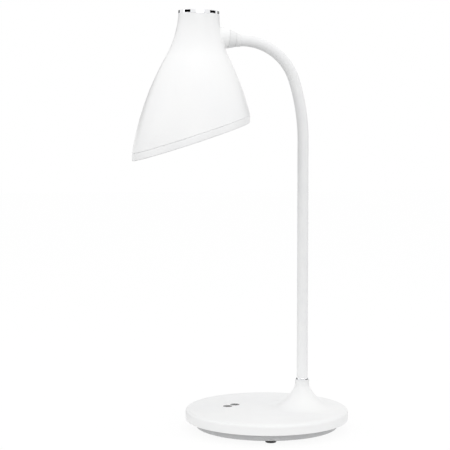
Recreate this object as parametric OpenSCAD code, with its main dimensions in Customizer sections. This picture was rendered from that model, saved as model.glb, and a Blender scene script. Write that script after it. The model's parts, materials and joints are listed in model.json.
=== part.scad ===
// Gooseneck desk lamp with a bell shade and a round weighted base.
// Millimetres. Z is up, the table is z = 0, the origin is under the centre of the base,
// and the shade hangs over the front of the base, towards -Y.

/* [Base] */
// Radius of the round base
base_r = 80; // [76:1:95]
// Height of the flat top of the base above the table
base_top_z = 20.6; // [20:0.2:26]
// Height of the lower edge of the cover above the table
cover_bottom_z = 10.3; // [9.6:0.1:11]
// Wall thickness of the cover
cover_wall = 2.4; // [2:0.1:2.8]
// Rounding of the cover's upper edge
cover_edge_r = 3; // [1:0.5:4]
// Radius of the bottom tray
tray_r = 70; // [69:0.5:72]
// Wall and floor thickness of the tray
tray_wall = 2; // [1.6:0.1:2.4]
// Radius of one rubber foot
foot_r = 5.2; // [4:0.1:6]
// Height of the tray's floor above the table
foot_h = 3.2; // [2.6:0.1:4]
// Distance of the feet from the centre of the base
foot_ring_r = 60; // [54:0.5:62]
// Turn of the ring of feet and tray screws about the centre of the base
foot_turn = -8; // [-12:1:12]
// Number of feet, with a tray screw between each two
foot_count = 4; // [3:1:4]
// Distance of the tray screws from the centre of the base
tray_screw_ring_r = 63.2; // [62.8:0.1:63.6]

/* [Stem] */
// Distance of the stem behind the centre of the base
stem_y = 36; // [30:1:38]
// Height of the collar's top above the table
collar_top_z = 47.6; // [46:0.5:60]
// Radius of the collar at the top of the flare
collar_r = 7; // [6.4:0.1:8]
// Radius of the hollow curve of the flare, seen from the side
flare_arc_r = 35; // [32:0.5:38]
// Distance of the flare's foot from the stem's axis
flare_reach = 39.2; // [37:0.2:40]
// Height of the chrome ring at the foot of the stem
foot_ring_h = 2; // [1.5:0.1:4]
// Radius of the chrome ring at the foot of the stem
foot_ring_outer_r = 6.2; // [5.6:0.1:6.6]

/* [Gooseneck] */
// Length of the straight part of the gooseneck
straight_l = 233.4; // [200:1:280]
// Radius of the wide arc
wide_arc_r = 195; // [150:5:240]
// Turn of the wide arc
wide_arc_deg = 18; // [10:1:24]
// Radius of the tight arc over the top
tight_arc_r = 53.5; // [45:0.5:65]
// Radius of the sleeve
sleeve_r = 5.4; // [5.2:0.1:5.8]
// Wall thickness of the sleeve
sleeve_wall = 0.8; // [0.6:0.1:0.8]
// Radius of the bore of the steel hose
hose_bore_r = 2.3; // [2.1:0.1:2.4]
// Radius of the lead
lead_r = 1.5; // [1.2:0.1:1.5]
// Distance of the first bend from the foot of the gooseneck
first_bend_s = 44; // [36:1:50]
// Distance between two bends in the straight part
bend_step = 62; // [50:1:64]
// Radius of the round end in each bend
ball_r = 5; // [4.8:0.1:5]
// Half of the gap between the two sleeve ends at a bend
bend_gap = 1.8; // [1.6:0.1:2.2]

/* [Head joint] */
// Distance from the end of the gooseneck's arc to the shade's axis
shade_offset = 42.7; // [40:0.5:46]
// Height of the shade's upper seam above the end of the gooseneck
neck_rise = 24.2; // [22:0.2:30]
// Length of the ferrule over the end of the sleeve
ferrule_l = 7; // [6:0.5:8]
// Radius of the ferrule where it meets the sleeve
ferrule_tip_r = 5.9; // [5.9:0.1:6.3]
// Radius of the ferrule at its other end
ferrule_root_r = 6.7; // [6.6:0.1:7.2]
// Length of the collar between ferrule and shade
neck_collar_l = 6.5; // [5:0.5:8]
// Radius of that collar at the ferrule's side
neck_collar_tip_r = 7.2; // [7:0.1:7.6]
// Radius of that collar at the shade's side
neck_collar_root_r = 9.1; // [8.6:0.1:9.6]
// Rise of the joint's axis from the ferrule towards the shade
joint_deg = 7.5; // [0:0.5:9]
// Width of the grooves beside the collar
groove_w = 0.5; // [0.3:0.1:0.8]
// Radius of the shade's boss at its free end
boss_tip_r = 9.3; // [9:0.1:9.8]
// Radius of the shade's boss at the shade
boss_root_r = 10.6; // [10.2:0.1:11]
// Length over which the boss widens
boss_cone_l = 4.2; // [3:0.2:6]
// Radius of the threaded tubes at both ends of the gooseneck
thread_r = 4; // [3.4:0.1:4]
// Width of their hexagon nuts across the flats
nut_af = 13; // [12:0.5:14]
// Height of these nuts
nut_h = 5; // [3:0.5:5]
// Thickness of the washers under them
washer_t = 1.4; // [1:0.1:1.8]

/* [Shade] */
// Radius of the shade at its upper seam
neck_r = 19.8; // [19:0.2:22]
// Lean of the shade's outline at the upper seam
neck_deg = 2; // [0:0.5:4]
// Radius of the hollow part of the outline
hollow_arc_r = 94.6; // [80:0.5:105]
// Lean of the outline where the hollow part ends
hollow_end_deg = 28; // [24:0.5:30]
// Radius of the full part of the outline
full_arc_r = 273.5; // [250:1:320]
// Wall thickness of the shade
shade_wall = 2.2; // [1.8:0.1:2.4]
// Lean of the shade's axis, its mouth towards the front
shade_lean = 1.8; // [0:0.2:4]
// Distance along the axis from the upper seam to the rim seam
mouth_t = 113.1; // [108:0.5:120]
// Angle between the rim and a square cut
mouth_deg = 20; // [14:0.2:23]
// Height of the rim band along the axis
band_h = 7.4; // [6:0.2:9]
// Width of the seam above the rim band
seam_gap = 0.5; // [0.3:0.1:0.8]
// Height of the chrome ring on the upper end
top_ring_h = 3.6; // [2.4:0.1:5]
// Wall thickness of that ring
top_ring_wall = 1.6; // [1.2:0.1:2]
// Thickness of the diffuser
diffuser_t = 2; // [1.5:0.1:2.5]
// Distance of the light board above the rim seam, along the axis
board_rise = 12; // [10:0.5:14]
// Radius of the light board
led_board_r = 36; // [33:0.5:37]
// Number of light chips in the outer ring
led_count = 18; // [12:2:24]

/* [Touch marks] */
// Radius of one round touch mark
mark_r = 4.7; // [4:0.1:4.8]
// Thickness of a mark
mark_t = 0.4; // [0.3:0.1:0.6]

/* [Hidden] */
$fn = 96;

// Clearances: between fixed pieces, between moving ones, and in screw and thread holes
fit_gap = 0.2;
run_gap = 0.3;
hole_gap = 0.2;
// A length that passes beyond every piece of the shade
beyond = 200;
// A cut starts this far outside the solid it cuts
over = 1;
white = [0.95, 0.95, 0.95];
chrome = [0.8, 0.8, 0.82];
steel = [0.62, 0.62, 0.64];
black = [0.05, 0.05, 0.05];

// ---- the line of the gooseneck, measured by its length s from the foot ----
foot_z = collar_top_z + foot_ring_h;
hose_r = sleeve_r - sleeve_wall - 0.1;
tight_arc_deg = 90 - wide_arc_deg;
wide_s = straight_l + wide_arc_r * wide_arc_deg * PI / 180;
arm_l = wide_s + tight_arc_r * tight_arc_deg * PI / 180;
// Four bends in the straight part, one where the arcs meet and one at the head
bends = concat([for (i = [0:3]) first_bend_s + i * bend_step], [wide_s, arm_l]);
bend_count = len(bends);
// The centres of the two arcs
wide_centre = [0, stem_y - wide_arc_r, foot_z + straight_l];
tight_centre = wide_centre + (wide_arc_r - tight_arc_r) * outward(wide_arc_deg);
arm_end = tight_centre + [0, 0, tight_arc_r];
// The shade's upper seam, and where the hollow part of its outline ends
shade_y = arm_end.y - shade_offset;
seam_z = arm_end.z + neck_rise;
hollow_end_t = hollow_arc_r * (sin(hollow_end_deg) - sin(neck_deg));
hollow_end_r = neck_r + hollow_arc_r * (cos(neck_deg) - cos(hollow_end_deg));
plane_rise = tan(mouth_deg);

function outward(deg) = [0, cos(deg), sin(deg)];

// Lean of the line at s, from upright towards the front
function lean_at(s) =
    s <= straight_l ? 0
    : s <= wide_s ? (s - straight_l) / wide_arc_r * 180 / PI
    : s <= arm_l ? wide_arc_deg + (s - wide_s) / tight_arc_r * 180 / PI
    : 90;

function point_at(s) =
    s <= straight_l ? [0, stem_y, foot_z + s]
    : s <= wide_s ? wide_centre + wide_arc_r * outward(lean_at(s))
    : s <= arm_l ? tight_centre + tight_arc_r * outward(lean_at(s))
    : arm_end - [0, s - arm_l, 0];

// Puts its child on the line at s, with +Z along the line
module at(s) translate(point_at(s)) rotate([lean_at(s), 0, 0]) children();

// Sweeps a flat child round a centre in the plane of the arm, from one angle to the other
module bow(centre, r, from_deg, to_deg)
    translate(centre) rotate([90, 0, 90]) rotate([0, 0, from_deg])
        rotate_extrude(angle = to_deg - from_deg) translate([r, 0]) children();

// Sweeps a flat child along the line from s = a to s = b. No piece runs past wide_s or arm_l, where
// bends are; one that runs from the straight into the wide arc is drawn in the frame where they meet
module run(a, b) {
    straight_end = min(b, straight_l);
    if (a < straight_l) at(straight_end) {
        translate([0, 0, a - straight_end]) linear_extrude(straight_end - a) children();
        if (b > straight_l) bow([0, -wide_arc_r, 0], wide_arc_r, 0, lean_at(b)) children();
    }
    else if (a < wide_s) bow(wide_centre, wide_arc_r, lean_at(a), lean_at(b)) children();
    else if (a < arm_l) bow(tight_centre, tight_arc_r, lean_at(a), lean_at(b)) children();
    else at(a) linear_extrude(b - a) children();
}

module ring(outer, inner) difference() {
    circle(outer);
    circle(inner);
}

module tube(outer, inner, h) linear_extrude(h) ring(outer, inner);

module hexagon_nut(h, bore) linear_extrude(h) difference() {
    circle(nut_af / sqrt(3), $fn = 6);
    circle(bore);
}

// A screw along -Z with its flat head's underside at z = 0
module screw(head_r, head_h, shank_r, shank_l) {
    cylinder(r = head_r, h = head_h);
    translate([0, 0, -shank_l]) cylinder(r = shank_r, h = shank_l + over / 2);
}

// ---- the base ----
cover_ceiling_z = base_top_z - cover_wall;
cover_inner_r = base_r - cover_wall;
tray_floor_z = foot_h + tray_wall;
tray_inner_r = tray_r - tray_wall;
flange_z = cover_bottom_z + 0.6;
flange_top_z = flange_z + tray_wall;
// The flare's curve dips just under the flat top, so that the two meet in a soft edge
flare_centre_z = base_top_z + flare_arc_r - 0.35;
shelf_z = 29.5;
tray_screw_r = 1.4;
tray_screw_l = 9;
tray_screw_head_r = 2.7;
tray_screw_head_h = 1.7;
tray_post_r = 3.4;
foot_pocket = 0.8;

// Places of what stands between the feet
module between_feet()
    for (i = [0:foot_count - 1]) rotate(foot_turn + (i + 0.5) * 360 / foot_count)
        translate([tray_screw_ring_r, 0, 0]) children();

module at_feet()
    for (i = [0:foot_count - 1]) rotate(foot_turn + i * 360 / foot_count)
        translate([foot_ring_r, 0, 0]) children();

// The charging socket in the rear wall, on a small board that lies on the tray's flange
socket_size = [8.94, 3.26];
socket_shell = 0.3;
socket_depth = 7.3;
socket_board_size = [16, 13];
socket_board_t = 1;
socket_edge_gap = 1.8;
socket_board_front_y = cover_inner_r - socket_edge_gap - socket_board_size.y;
socket_z = flange_top_z + socket_board_t + socket_size.y / 2;
socket_lead_r = 1.2;
socket_lead_x = 14;
cell_gap = 0.1;

// The counterweight and its three posts, inside the ring of tray screws and in front of the socket's board
weight_edge_gap = 2.8;
weight_r = min(tray_screw_ring_r - tray_post_r, socket_board_front_y) - weight_edge_gap;
weight_front_y = -14;
weight_t = 8;
weight_gap = 0.1;
weight_z = tray_floor_z + weight_gap;
weight_top_z = weight_z + weight_t;
weight_post_r = 4;
weight_screw_r = 1.5;
weight_screw_l = 6;
weight_screw_head_r = 5.6;
weight_screw_head_h = 1.6;
weight_side_inset = 17;
weight_rear_inset = 8;
weight_screw_places = [[weight_side_inset - weight_r, 8], [weight_r - weight_side_inset, 8],
                       [0, weight_r - weight_rear_inset]];

// The control board under the touch marks
board_size = [56, 30];
board_centre = [-8, -37];
pcb_t = 1.6;
board_top_z = weight_top_z;
board_post_r = 2.6;
board_screw_r = 1;
board_screw_l = 4;
small_head_r = 2;
small_head_h = 1.2;
board_screw_inset = 4;
board_screw_places = [for (x = [-1, 1], y = [-1, 1])
    board_centre + [x * (board_size.x / 2 - board_screw_inset), y * (board_size.y / 2 - board_screw_inset)]];
mark_places = [[-13.1, -36.8], [-19.7, -28.2]];
pad_r = 3.8;

// An upright slot, rounded at its left and right ends
module stadium(size) {
    square([size.x - size.y, size.y], center = true);
    for (side = [-1, 1]) translate([side * (size.x - size.y) / 2, 0]) circle(size.y / 2);
}

module socket_form(size, depth)
    translate([0, base_r - cover_wall / 2 + 1, socket_z]) rotate([90, 0, 0])
        linear_extrude(depth) stadium(size);

module cover_profile() {
    body_h = base_top_z - cover_bottom_z;
    translate([0, cover_bottom_z]) {
        square([base_r - cover_edge_r, body_h]);
        square([base_r, body_h - cover_edge_r]);
        translate([base_r - cover_edge_r, body_h - cover_edge_r]) circle(cover_edge_r);
    }
}

// The hollow-sided flare, drawn with its axis at x = 0
module flare_profile(arc_r, low_z, high_z) difference() {
    translate([0, low_z]) square([flare_reach, high_z - low_z]);
    translate([flare_reach, flare_centre_z]) circle(arc_r);
}

module base_cover() color(white) difference() {
    union() {
        difference() {
            union() {
                rotate_extrude() cover_profile();
                translate([0, stem_y, 0]) rotate_extrude() {
                    flare_profile(flare_arc_r, cover_ceiling_z + over, collar_top_z);
                    translate([0, base_top_z - over]) square([collar_r, collar_top_z - base_top_z + over]);
                }
            }
            translate([0, 0, cover_bottom_z - over])
                cylinder(r = cover_inner_r, h = cover_ceiling_z - cover_bottom_z + over);
            translate([0, stem_y, 0]) rotate_extrude()
                flare_profile(flare_arc_r + cover_wall, cover_ceiling_z - over, shelf_z);
        }
        between_feet() translate([0, 0, tray_floor_z])
            cylinder(r = tray_post_r, h = cover_ceiling_z - tray_floor_z + over);
    }
    translate([0, stem_y, shelf_z - over])
        cylinder(r = thread_r + hole_gap, h = collar_top_z - shelf_z + 2 * over);
    between_feet() translate([0, 0, tray_floor_z - over])
        cylinder(r = tray_screw_r - 0.1, h = tray_screw_l + 2 * over);
    for (p = mark_places) translate([p.x, p.y, base_top_z - mark_t])
        cylinder(r = mark_r + 0.05, h = mark_t + over);
    socket_form(socket_size + 2 * [fit_gap, fit_gap], cover_wall + 2);
}

module tray_profile() {
    translate([0, foot_h]) square([tray_r, tray_wall]);
    translate([tray_inner_r, foot_h]) square([tray_wall, flange_top_z - foot_h]);
    translate([tray_inner_r, flange_z]) square([cover_inner_r - run_gap - tray_inner_r, tray_wall]);
}

module base_tray() color([0.75, 0.75, 0.76]) difference() {
    union() {
        rotate_extrude() tray_profile();
        for (p = weight_screw_places) translate([p.x, p.y, foot_h + over])
            cylinder(r = weight_post_r, h = weight_top_z - foot_h - over - 0.05);
        for (p = board_screw_places) translate([p.x, p.y, foot_h + over])
            cylinder(r = board_post_r, h = board_top_z - pcb_t - foot_h - over);
    }
    at_feet() translate([0, 0, foot_h - over]) cylinder(r = foot_r + fit_gap / 2, h = foot_pocket + over);
    between_feet() translate([0, 0, foot_h - over])
        cylinder(r = tray_screw_r + hole_gap, h = tray_wall + 2 * over);
    for (p = weight_screw_places) translate([p.x, p.y, tray_floor_z])
        cylinder(r = weight_screw_r - 0.1, h = weight_t + over);
    for (p = board_screw_places) translate([p.x, p.y, tray_floor_z])
        cylinder(r = board_screw_r - 0.1, h = weight_t + over);
}

module rubber_feet() color([0.3, 0.3, 0.3]) at_feet() rotate_extrude() difference() {
    square([foot_r, foot_h + foot_pocket]);
    translate([foot_r - 0.6, 0]) rotate(-45) square([2, 2]);
}

module tray_screws() color(steel) between_feet()
    translate([0, 0, foot_h]) mirror([0, 0, 1])
        screw(tray_screw_head_r, tray_screw_head_h, tray_screw_r - 0.1, tray_screw_l);

module counterweight() color(steel) difference() {
    translate([0, 0, weight_z]) cylinder(r = weight_r, h = weight_t);
    translate([-weight_r - over, -weight_r - over, weight_z - over])
        cube([2 * (weight_r + over), weight_r + over + weight_front_y, weight_t + 2 * over]);
    for (p = weight_screw_places) translate([p.x, p.y, weight_z - over])
        cylinder(r = weight_post_r + fit_gap, h = weight_t + 2 * over);
}

module counterweight_screws() color(steel) for (p = weight_screw_places)
    translate([p.x, p.y, weight_top_z])
        screw(weight_screw_head_r, weight_screw_head_h, weight_screw_r - 0.1, weight_screw_l);

module control_board() color([0.1, 0.4, 0.2]) difference() {
    translate([board_centre.x, board_centre.y, board_top_z - pcb_t / 2])
        cube([board_size.x, board_size.y, pcb_t], center = true);
    for (p = board_screw_places) translate([p.x, p.y, board_top_z - pcb_t - over])
        cylinder(r = board_screw_r + hole_gap, h = pcb_t + 2 * over);
}

// A driver chip, a coil and two capacitors, placed from the board's centre
chip_size = [8, 6, 1.5];
chip_place = [12, -11];
coil_r = 3.6;
coil_h = 3.4;
coil_place = [18, 0];
capacitor_r = 2.4;
capacitor_h = 3.8;
capacitor_places = [[-24, -4.5], [-18, -4.5]];
module driver_parts() color([0.15, 0.15, 0.16]) translate([board_centre.x, board_centre.y, board_top_z]) {
    translate(chip_place) cube(chip_size);
    translate(coil_place) cylinder(r = coil_r, h = coil_h);
    for (place = capacitor_places) translate(place) cylinder(r = capacitor_r, h = capacitor_h);
}

module control_board_screws() color(steel) for (p = board_screw_places)
    translate([p.x, p.y, board_top_z]) screw(small_head_r, small_head_h, board_screw_r - 0.1, board_screw_l);

module touch_pads() color([0.4, 0.4, 0.42]) for (p = mark_places)
    translate([p.x, p.y, board_top_z]) cylinder(r = pad_r, h = cover_ceiling_z - board_top_z);

// Two round inlays: one with an on and off sign, one with a brightness sign
module touch_marks() color(black) {
    line_w = 0.7;
    translate([mark_places[0].x, mark_places[0].y, base_top_z - mark_t]) linear_extrude(mark_t) difference() {
        circle(mark_r);
        difference() {
            ring(mark_r * 0.52, mark_r * 0.52 - line_w);
            translate([-line_w, 0]) square([2 * line_w, mark_r]);
        }
        translate([-line_w / 2, mark_r * 0.15]) square([line_w, mark_r * 0.45]);
    }
    translate([mark_places[1].x, mark_places[1].y, base_top_z - mark_t]) linear_extrude(mark_t) difference() {
        circle(mark_r);
        circle(mark_r * 0.22);
        for (i = [0:7]) rotate(i * 45) translate([mark_r * 0.36, -line_w / 2]) square([mark_r * 0.24, line_w]);
    }
}

module charging_socket() color(steel) {
    hollow = socket_size - 2 * [socket_shell, socket_shell];
    difference() {
        socket_form(socket_size, socket_depth);
        translate([0, over, 0]) socket_form(hollow, socket_depth + over - 0.8);
    }
    translate([0, -1, 0]) socket_form([6.7, 0.7], socket_depth - 1.4);
}

module socket_board() color([0.1, 0.4, 0.2])
    translate([-socket_board_size.x / 2 + 3, socket_board_front_y, flange_top_z])
        cube([socket_board_size.x, socket_board_size.y, socket_board_t]);

// The two-core lead between the boards, which lies over both of them and over the counterweight
module socket_lead() color([0.2, 0.2, 0.2]) {
    lead_z = max(weight_top_z, flange_top_z + socket_board_t) + socket_lead_r + cell_gap;
    translate([socket_lead_x - 4, socket_board_front_y + 2, lead_z]) rotate([90, 0, 0])
        cylinder(r = socket_lead_r, h = socket_board_front_y + 2 - board_centre.y - board_size.y / 2 + 5);
}

// ---- the foot of the stem ----
module foot_trim_ring() color(chrome) translate([0, stem_y, collar_top_z])
    tube(foot_ring_outer_r, thread_r + hole_gap, foot_ring_h);

spigot_r = hose_bore_r - 0.1;
fitting_bore_r = lead_r + 0.25;
lower_spigot_l = 12;
upper_spigot_l = 5.4;
thread_end = 1.3;

module lower_fitting() color(steel) translate([0, stem_y, 0]) {
    low_z = shelf_z - washer_t - nut_h - thread_end;
    translate([0, 0, low_z]) tube(thread_r, fitting_bore_r, foot_z - low_z);
    translate([0, 0, foot_z - over]) tube(spigot_r, fitting_bore_r, lower_spigot_l + over);
}

module stem_washer() color(steel) translate([0, stem_y, shelf_z - washer_t])
    tube(nut_af / 2 + 1.5, thread_r + 0.1, washer_t);

module stem_nut() color(steel) translate([0, stem_y, shelf_z - washer_t - nut_h])
    hexagon_nut(nut_h, thread_r + 0.02);

// ---- the gooseneck ----
// A bend is a ball on the lower piece in a round hollow of the upper piece
ball_low = bend_gap - 0.4;
ball_high = 2.4;
ball_mouth_deg = 33;

function piece_start(i, gap) = i == 0 ? 0 : bends[i - 1] + gap;
function piece_end(i, gap, last) = i == bend_count ? last : bends[i] - gap;
// The round end's bore is a little tighter than the hose's
ball_bore_r = hose_bore_r - 0.1;

module hollow_for_ball(i) if (i > 0) at(bends[i - 1]) sphere(ball_r + run_gap);

module sleeve(i) color(white) difference() {
    run(piece_start(i, bend_gap), piece_end(i, bend_gap, arm_l + ferrule_l)) ring(sleeve_r, hose_r + 0.1);
    hollow_for_ball(i);
}

module ball(i) at(bends[i]) difference() {
    intersection() {
        sphere(ball_r);
        translate([0, 0, (ball_high - ball_low) / 2])
            cube([3 * ball_r, 3 * ball_r, ball_high + ball_low], center = true);
    }
    translate([0, 0, -ball_r]) cylinder(r = ball_bore_r, h = 2 * ball_r);
    mouth_h = ball_high + over;
    cylinder(r1 = ball_bore_r, r2 = ball_bore_r + mouth_h * tan(ball_mouth_deg), h = mouth_h);
}

module hose(i) color(steel) {
    difference() {
        run(piece_start(i, bend_gap), piece_end(i, ball_low / 2, arm_l + ferrule_l + hose_in_collar))
            ring(hose_r, hose_bore_r);
        hollow_for_ball(i);
    }
    if (i < bend_count) ball(i);
}

lead_gap = 0.6;
lead_low_z = weight_top_z + lead_r + cell_gap;
lead_turn_r = 6;
lead_start_y = board_centre.y + board_size.y / 2 - 4;

// In the base the lead lies from the control board to the stem and turns up into it
module lead_in_base() {
    translate([0, lead_start_y, lead_low_z]) rotate([-90, 0, 0])
        cylinder(r = lead_r, h = stem_y - lead_turn_r - lead_start_y);
    bow([0, stem_y - lead_turn_r, lead_low_z + lead_turn_r], lead_turn_r, -90, 0) circle(lead_r);
    translate([0, stem_y, lead_low_z + lead_turn_r])
        cylinder(r = lead_r, h = foot_z - lead_low_z - lead_turn_r + over);
}

// In the head it leaves the fitting, turns down and ends on the plug above the light board
drop_s = round(10 * (shade_offset + (mouth_t - board_rise) * sin(shade_lean))) / 10;
module lead_in_head() difference() {
    at(arm_l) {
        translate([0, 0, lead_gap]) cylinder(r = lead_r, h = drop_s - lead_turn_r - lead_gap);
        translate([0, -lead_turn_r, drop_s - lead_turn_r]) rotate([0, -90, 0]) rotate_extrude(angle = 90)
            translate([lead_turn_r, 0]) circle(lead_r);
        translate([0, -lead_turn_r, drop_s]) rotate([90, 0, 0]) cylinder(r = lead_r, h = mouth_t);
    }
    in_head() below(plug_top_d);
}

module lead(i) color([0.9, 0.9, 0.9]) {
    if (i < bend_count) run(piece_start(i, lead_gap), bends[i] - lead_gap) circle(lead_r);
    if (i == 0) lead_in_base();
    if (i == bend_count) lead_in_head();
}

// ---- the head joint, measured from the end of the gooseneck's arc ----
collar_start = ferrule_l + groove_w;
boss_start = collar_start + neck_collar_l + groove_w;
ferrule_start = bend_gap + 0.6;
hose_in_collar = 4;
pad_t = 6.2;
pad_end = shade_offset - (shade_r(neck_rise) - shade_wall - pad_t);

// Ferrule, collar and the boss's cone rise towards the shade round a pivot at the ferrule's free end,
// while their bores stay straight
module on_joint() translate([0, 0, ferrule_start]) rotate([-joint_deg, 0, 0])
    translate([0, 0, -ferrule_start]) children();
// The slanted faces reach this much further along a straight bore
slant = boss_root_r * sin(joint_deg);

module neck_ferrule() color(white) at(arm_l) difference() {
    intersection() {
        on_joint() {
            translate([0, 0, ferrule_start - slant]) cylinder(r = ferrule_tip_r, h = slant + over);
            translate([0, 0, ferrule_start])
                cylinder(r1 = ferrule_tip_r, r2 = ferrule_root_r, h = ferrule_l - ferrule_start);
        }
        translate([0, 0, ferrule_start]) cylinder(r = boss_root_r, h = ferrule_l + slant);
    }
    translate([0, 0, -over]) cylinder(r = sleeve_r + 0.05, h = ferrule_l + slant + 2 * over);
}

module neck_collar() color(white) at(arm_l) difference() {
    on_joint() {
        translate([0, 0, ferrule_l]) cylinder(r = ferrule_root_r - 0.5, h = groove_w + over);
        translate([0, 0, collar_start])
            cylinder(r1 = neck_collar_tip_r, r2 = neck_collar_root_r, h = neck_collar_l);
    }
    translate([0, 0, ferrule_start]) cylinder(r = sleeve_r + 0.05, h = ferrule_l - ferrule_start);
    cylinder(r = thread_r + hole_gap, h = boss_start + slant);
    cylinder(r = hose_r + 0.1, h = ferrule_l + hose_in_collar);
}

// The boss widens along the joint's axis up to a straight cylinder that ends in the pad for the washer
boss_lift = (boss_start + boss_cone_l - ferrule_start) * sin(joint_deg);
module shade_boss() {
    on_joint() translate([0, 0, boss_start - groove_w]) cylinder(r = boss_tip_r - 0.8, h = groove_w + over);
    intersection() {
        on_joint() translate([0, 0, boss_start]) cylinder(r1 = boss_tip_r,
            r2 = boss_tip_r + (boss_root_r - boss_tip_r) * (pad_end - boss_start + 2 * slant) / boss_cone_l,
            h = pad_end - boss_start + 2 * slant);
        translate([0, boss_lift, boss_start - slant]) cylinder(r = boss_root_r, h = pad_end - boss_start + slant);
    }
}

module upper_fitting() color(steel) at(arm_l) {
    thread_start = ferrule_l + hose_in_collar;
    translate([0, 0, thread_start])
        tube(thread_r, fitting_bore_r, pad_end + washer_t + nut_h + thread_end - thread_start);
    translate([0, 0, thread_start - upper_spigot_l]) tube(spigot_r, fitting_bore_r, upper_spigot_l + over);
}

module head_washer() color(steel) at(arm_l) translate([0, 0, pad_end])
    tube(nut_af / 2 + 1.5, thread_r + 0.1, washer_t);

module head_nut() color(steel) at(arm_l) translate([0, 0, pad_end + washer_t])
    hexagon_nut(nut_h, thread_r + 0.02);

// ---- the shade, in its own frame: its upper seam at the origin, its axis along -Z, its back at +Y ----

// Sine of the outline's lean at the distance t below the upper seam
function shade_sin(t) =
    t < hollow_end_t ? sin(neck_deg) + t / hollow_arc_r : sin(hollow_end_deg) - (t - hollow_end_t) / full_arc_r;
function shade_cos(t) = sqrt(1 - pow(shade_sin(t), 2));
function shade_r(t) =
    t < hollow_end_t ? neck_r + hollow_arc_r * (cos(neck_deg) - shade_cos(t))
    : hollow_end_r + full_arc_r * (shade_cos(t) - cos(hollow_end_deg));
function inner_r(t) = shade_r(t) - shade_wall / shade_cos(t);

// Radius of the outline where the mouth's plane, moved down the axis by d, cuts it at an angle
// counted from the back; each step of the search puts the last radius into the plane
function rim_r(deg, d, steps = 8) = steps == 0 ? shade_r(mouth_t)
    : shade_r(mouth_t + d - rim_r(deg, d, steps - 1) * cos(deg) * plane_rise);
function rim_inner_r(deg, d, steps = 8) = steps == 0 ? shade_r(mouth_t)
    : inner_r(mouth_t + d - rim_inner_r(deg, d, steps - 1) * cos(deg) * plane_rise);
rim_steps = 72;
function rim_outline(d, inset) = [for (i = [0:rim_steps - 1]) let (deg = i * 360 / rim_steps)
    (rim_r(deg, d) - inset) * [sin(deg), cos(deg)]];
function rim_inner_outline(d, inset) = [for (i = [0:rim_steps - 1]) let (deg = i * 360 / rim_steps)
    (rim_inner_r(deg, d) - inset) * [sin(deg), cos(deg)]];

module in_head() translate([0, shade_y, seam_z]) rotate([-shade_lean, 0, 0]) children();

// The mouth's plane moved down the axis by d, with +Z square to it
module on_plane(d) translate([0, 0, -mouth_t - d]) rotate([mouth_deg, 0, 0]) children();

module below(d) on_plane(d) translate([-beyond, -beyond, -2 * beyond]) cube(2 * beyond);

module above(d) on_plane(d) translate([-beyond, -beyond, 0]) cube(2 * beyond);

// A slab square to the mouth's plane, from the plane moved by d up to a thickness t
module slab(d, t) on_plane(d) translate([-beyond / 2, -beyond / 2, 0]) cube([beyond, beyond, t]);

// A column along the shade's axis
module column(outline) translate([0, 0, -beyond]) linear_extrude(beyond) polygon(outline);

profile_step = 5;
shade_l = mouth_t + shade_r(mouth_t) * plane_rise + 2 * profile_step;
module shade_form(inside) rotate_extrude() polygon([
    [0, inside ? over : 0],
    if (inside) [inner_r(0), over],
    for (t = [0:profile_step:shade_l]) [inside ? inner_r(t) : shade_r(t), -t],
    [0, -profile_step * floor(shade_l / profile_step)]
]);

post_r = 3.4;
post_ring_r = 38;
carrier_screw_r = 1.2;
carrier_screw_l = 7;
carrier_screw_head_r = 2.4;
carrier_screw_head_h = 1.4;
carrier_t = 2;
// Heights above the light board's lower face, square to it: of the carrier's faces and the plug's top
carrier_h = pcb_t + cell_gap;
carrier_top_h = carrier_h + carrier_t;
plug_l = 6;
plug_r = 4.2;
plug_top_d = -board_rise - (carrier_h + plug_l) / cos(mouth_deg);
module on_board(h) on_plane(-board_rise) translate([0, 0, h]) children();
module at_posts() for (deg = [60, 180, 300]) rotate([0, 0, deg]) translate([0, post_ring_r, 0]) children();

module shade_shell() color(white) difference() {
    union() {
        in_head() difference() {
            shade_form(false);
            shade_form(true);
            below(0);
        }
        at(arm_l) shade_boss();
        in_head() intersection() {
            on_board(carrier_top_h + cell_gap) at_posts() cylinder(r = post_r, h = beyond / 2);
            shade_form(false);
        }
    }
    at(arm_l) cylinder(r = thread_r + hole_gap, h = pad_end + over);
    in_head() on_board(carrier_top_h) at_posts() translate([0, 0, -over])
        cylinder(r = carrier_screw_r - 0.1, h = carrier_screw_l - carrier_t + 2 * over);
}

module neck_trim_ring() color(chrome) in_head()
    tube(neck_r, neck_r - top_ring_wall, top_ring_h);

module top_cap() color(white) in_head() {
    cylinder(r = neck_r - top_ring_wall - 0.1, h = top_ring_h - 0.6);
    translate([0, 0, -5]) tube(inner_r(0) - fit_gap, inner_r(0) - fit_gap - 1.6, 5 + over);
}

lip_w = 3;
lip_t = 1.6;
bezel_wall = 2.2;
spigot_h = 4;
spigot_wall = 1.6;
web_t = 1.5;
module rim_bezel() color(white) in_head() {
    difference() {
        column(rim_outline(0, 0));
        column(rim_outline(0, bezel_wall + lip_w));
        difference() {
            column(rim_outline(0, bezel_wall));
            below(band_h - lip_t / cos(mouth_deg));
        }
        above(seam_gap);
        below(band_h);
    }
    // The web at the top of the band carries the spigot that stands inside the shade
    difference() {
        union() {
            difference() {
                column(rim_outline(0, 0));
                above(seam_gap);
            }
            column(rim_inner_outline(-spigot_h, fit_gap));
        }
        column(rim_inner_outline(-spigot_h, fit_gap + spigot_wall));
        above(-spigot_h);
        below(seam_gap + web_t);
    }
}

module diffuser() color([0.97, 0.97, 0.96]) in_head() intersection() {
    column(rim_outline(0, bezel_wall + fit_gap));
    slab(band_h - lip_t / cos(mouth_deg), diffuser_t);
}

board_screw_ring_r = 30;
led_board_screw_r = 0.8;
module at_board_screws()
    for (deg = [0, 120, 240]) rotate([0, 0, deg]) translate([0, board_screw_ring_r, 0]) children();

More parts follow.
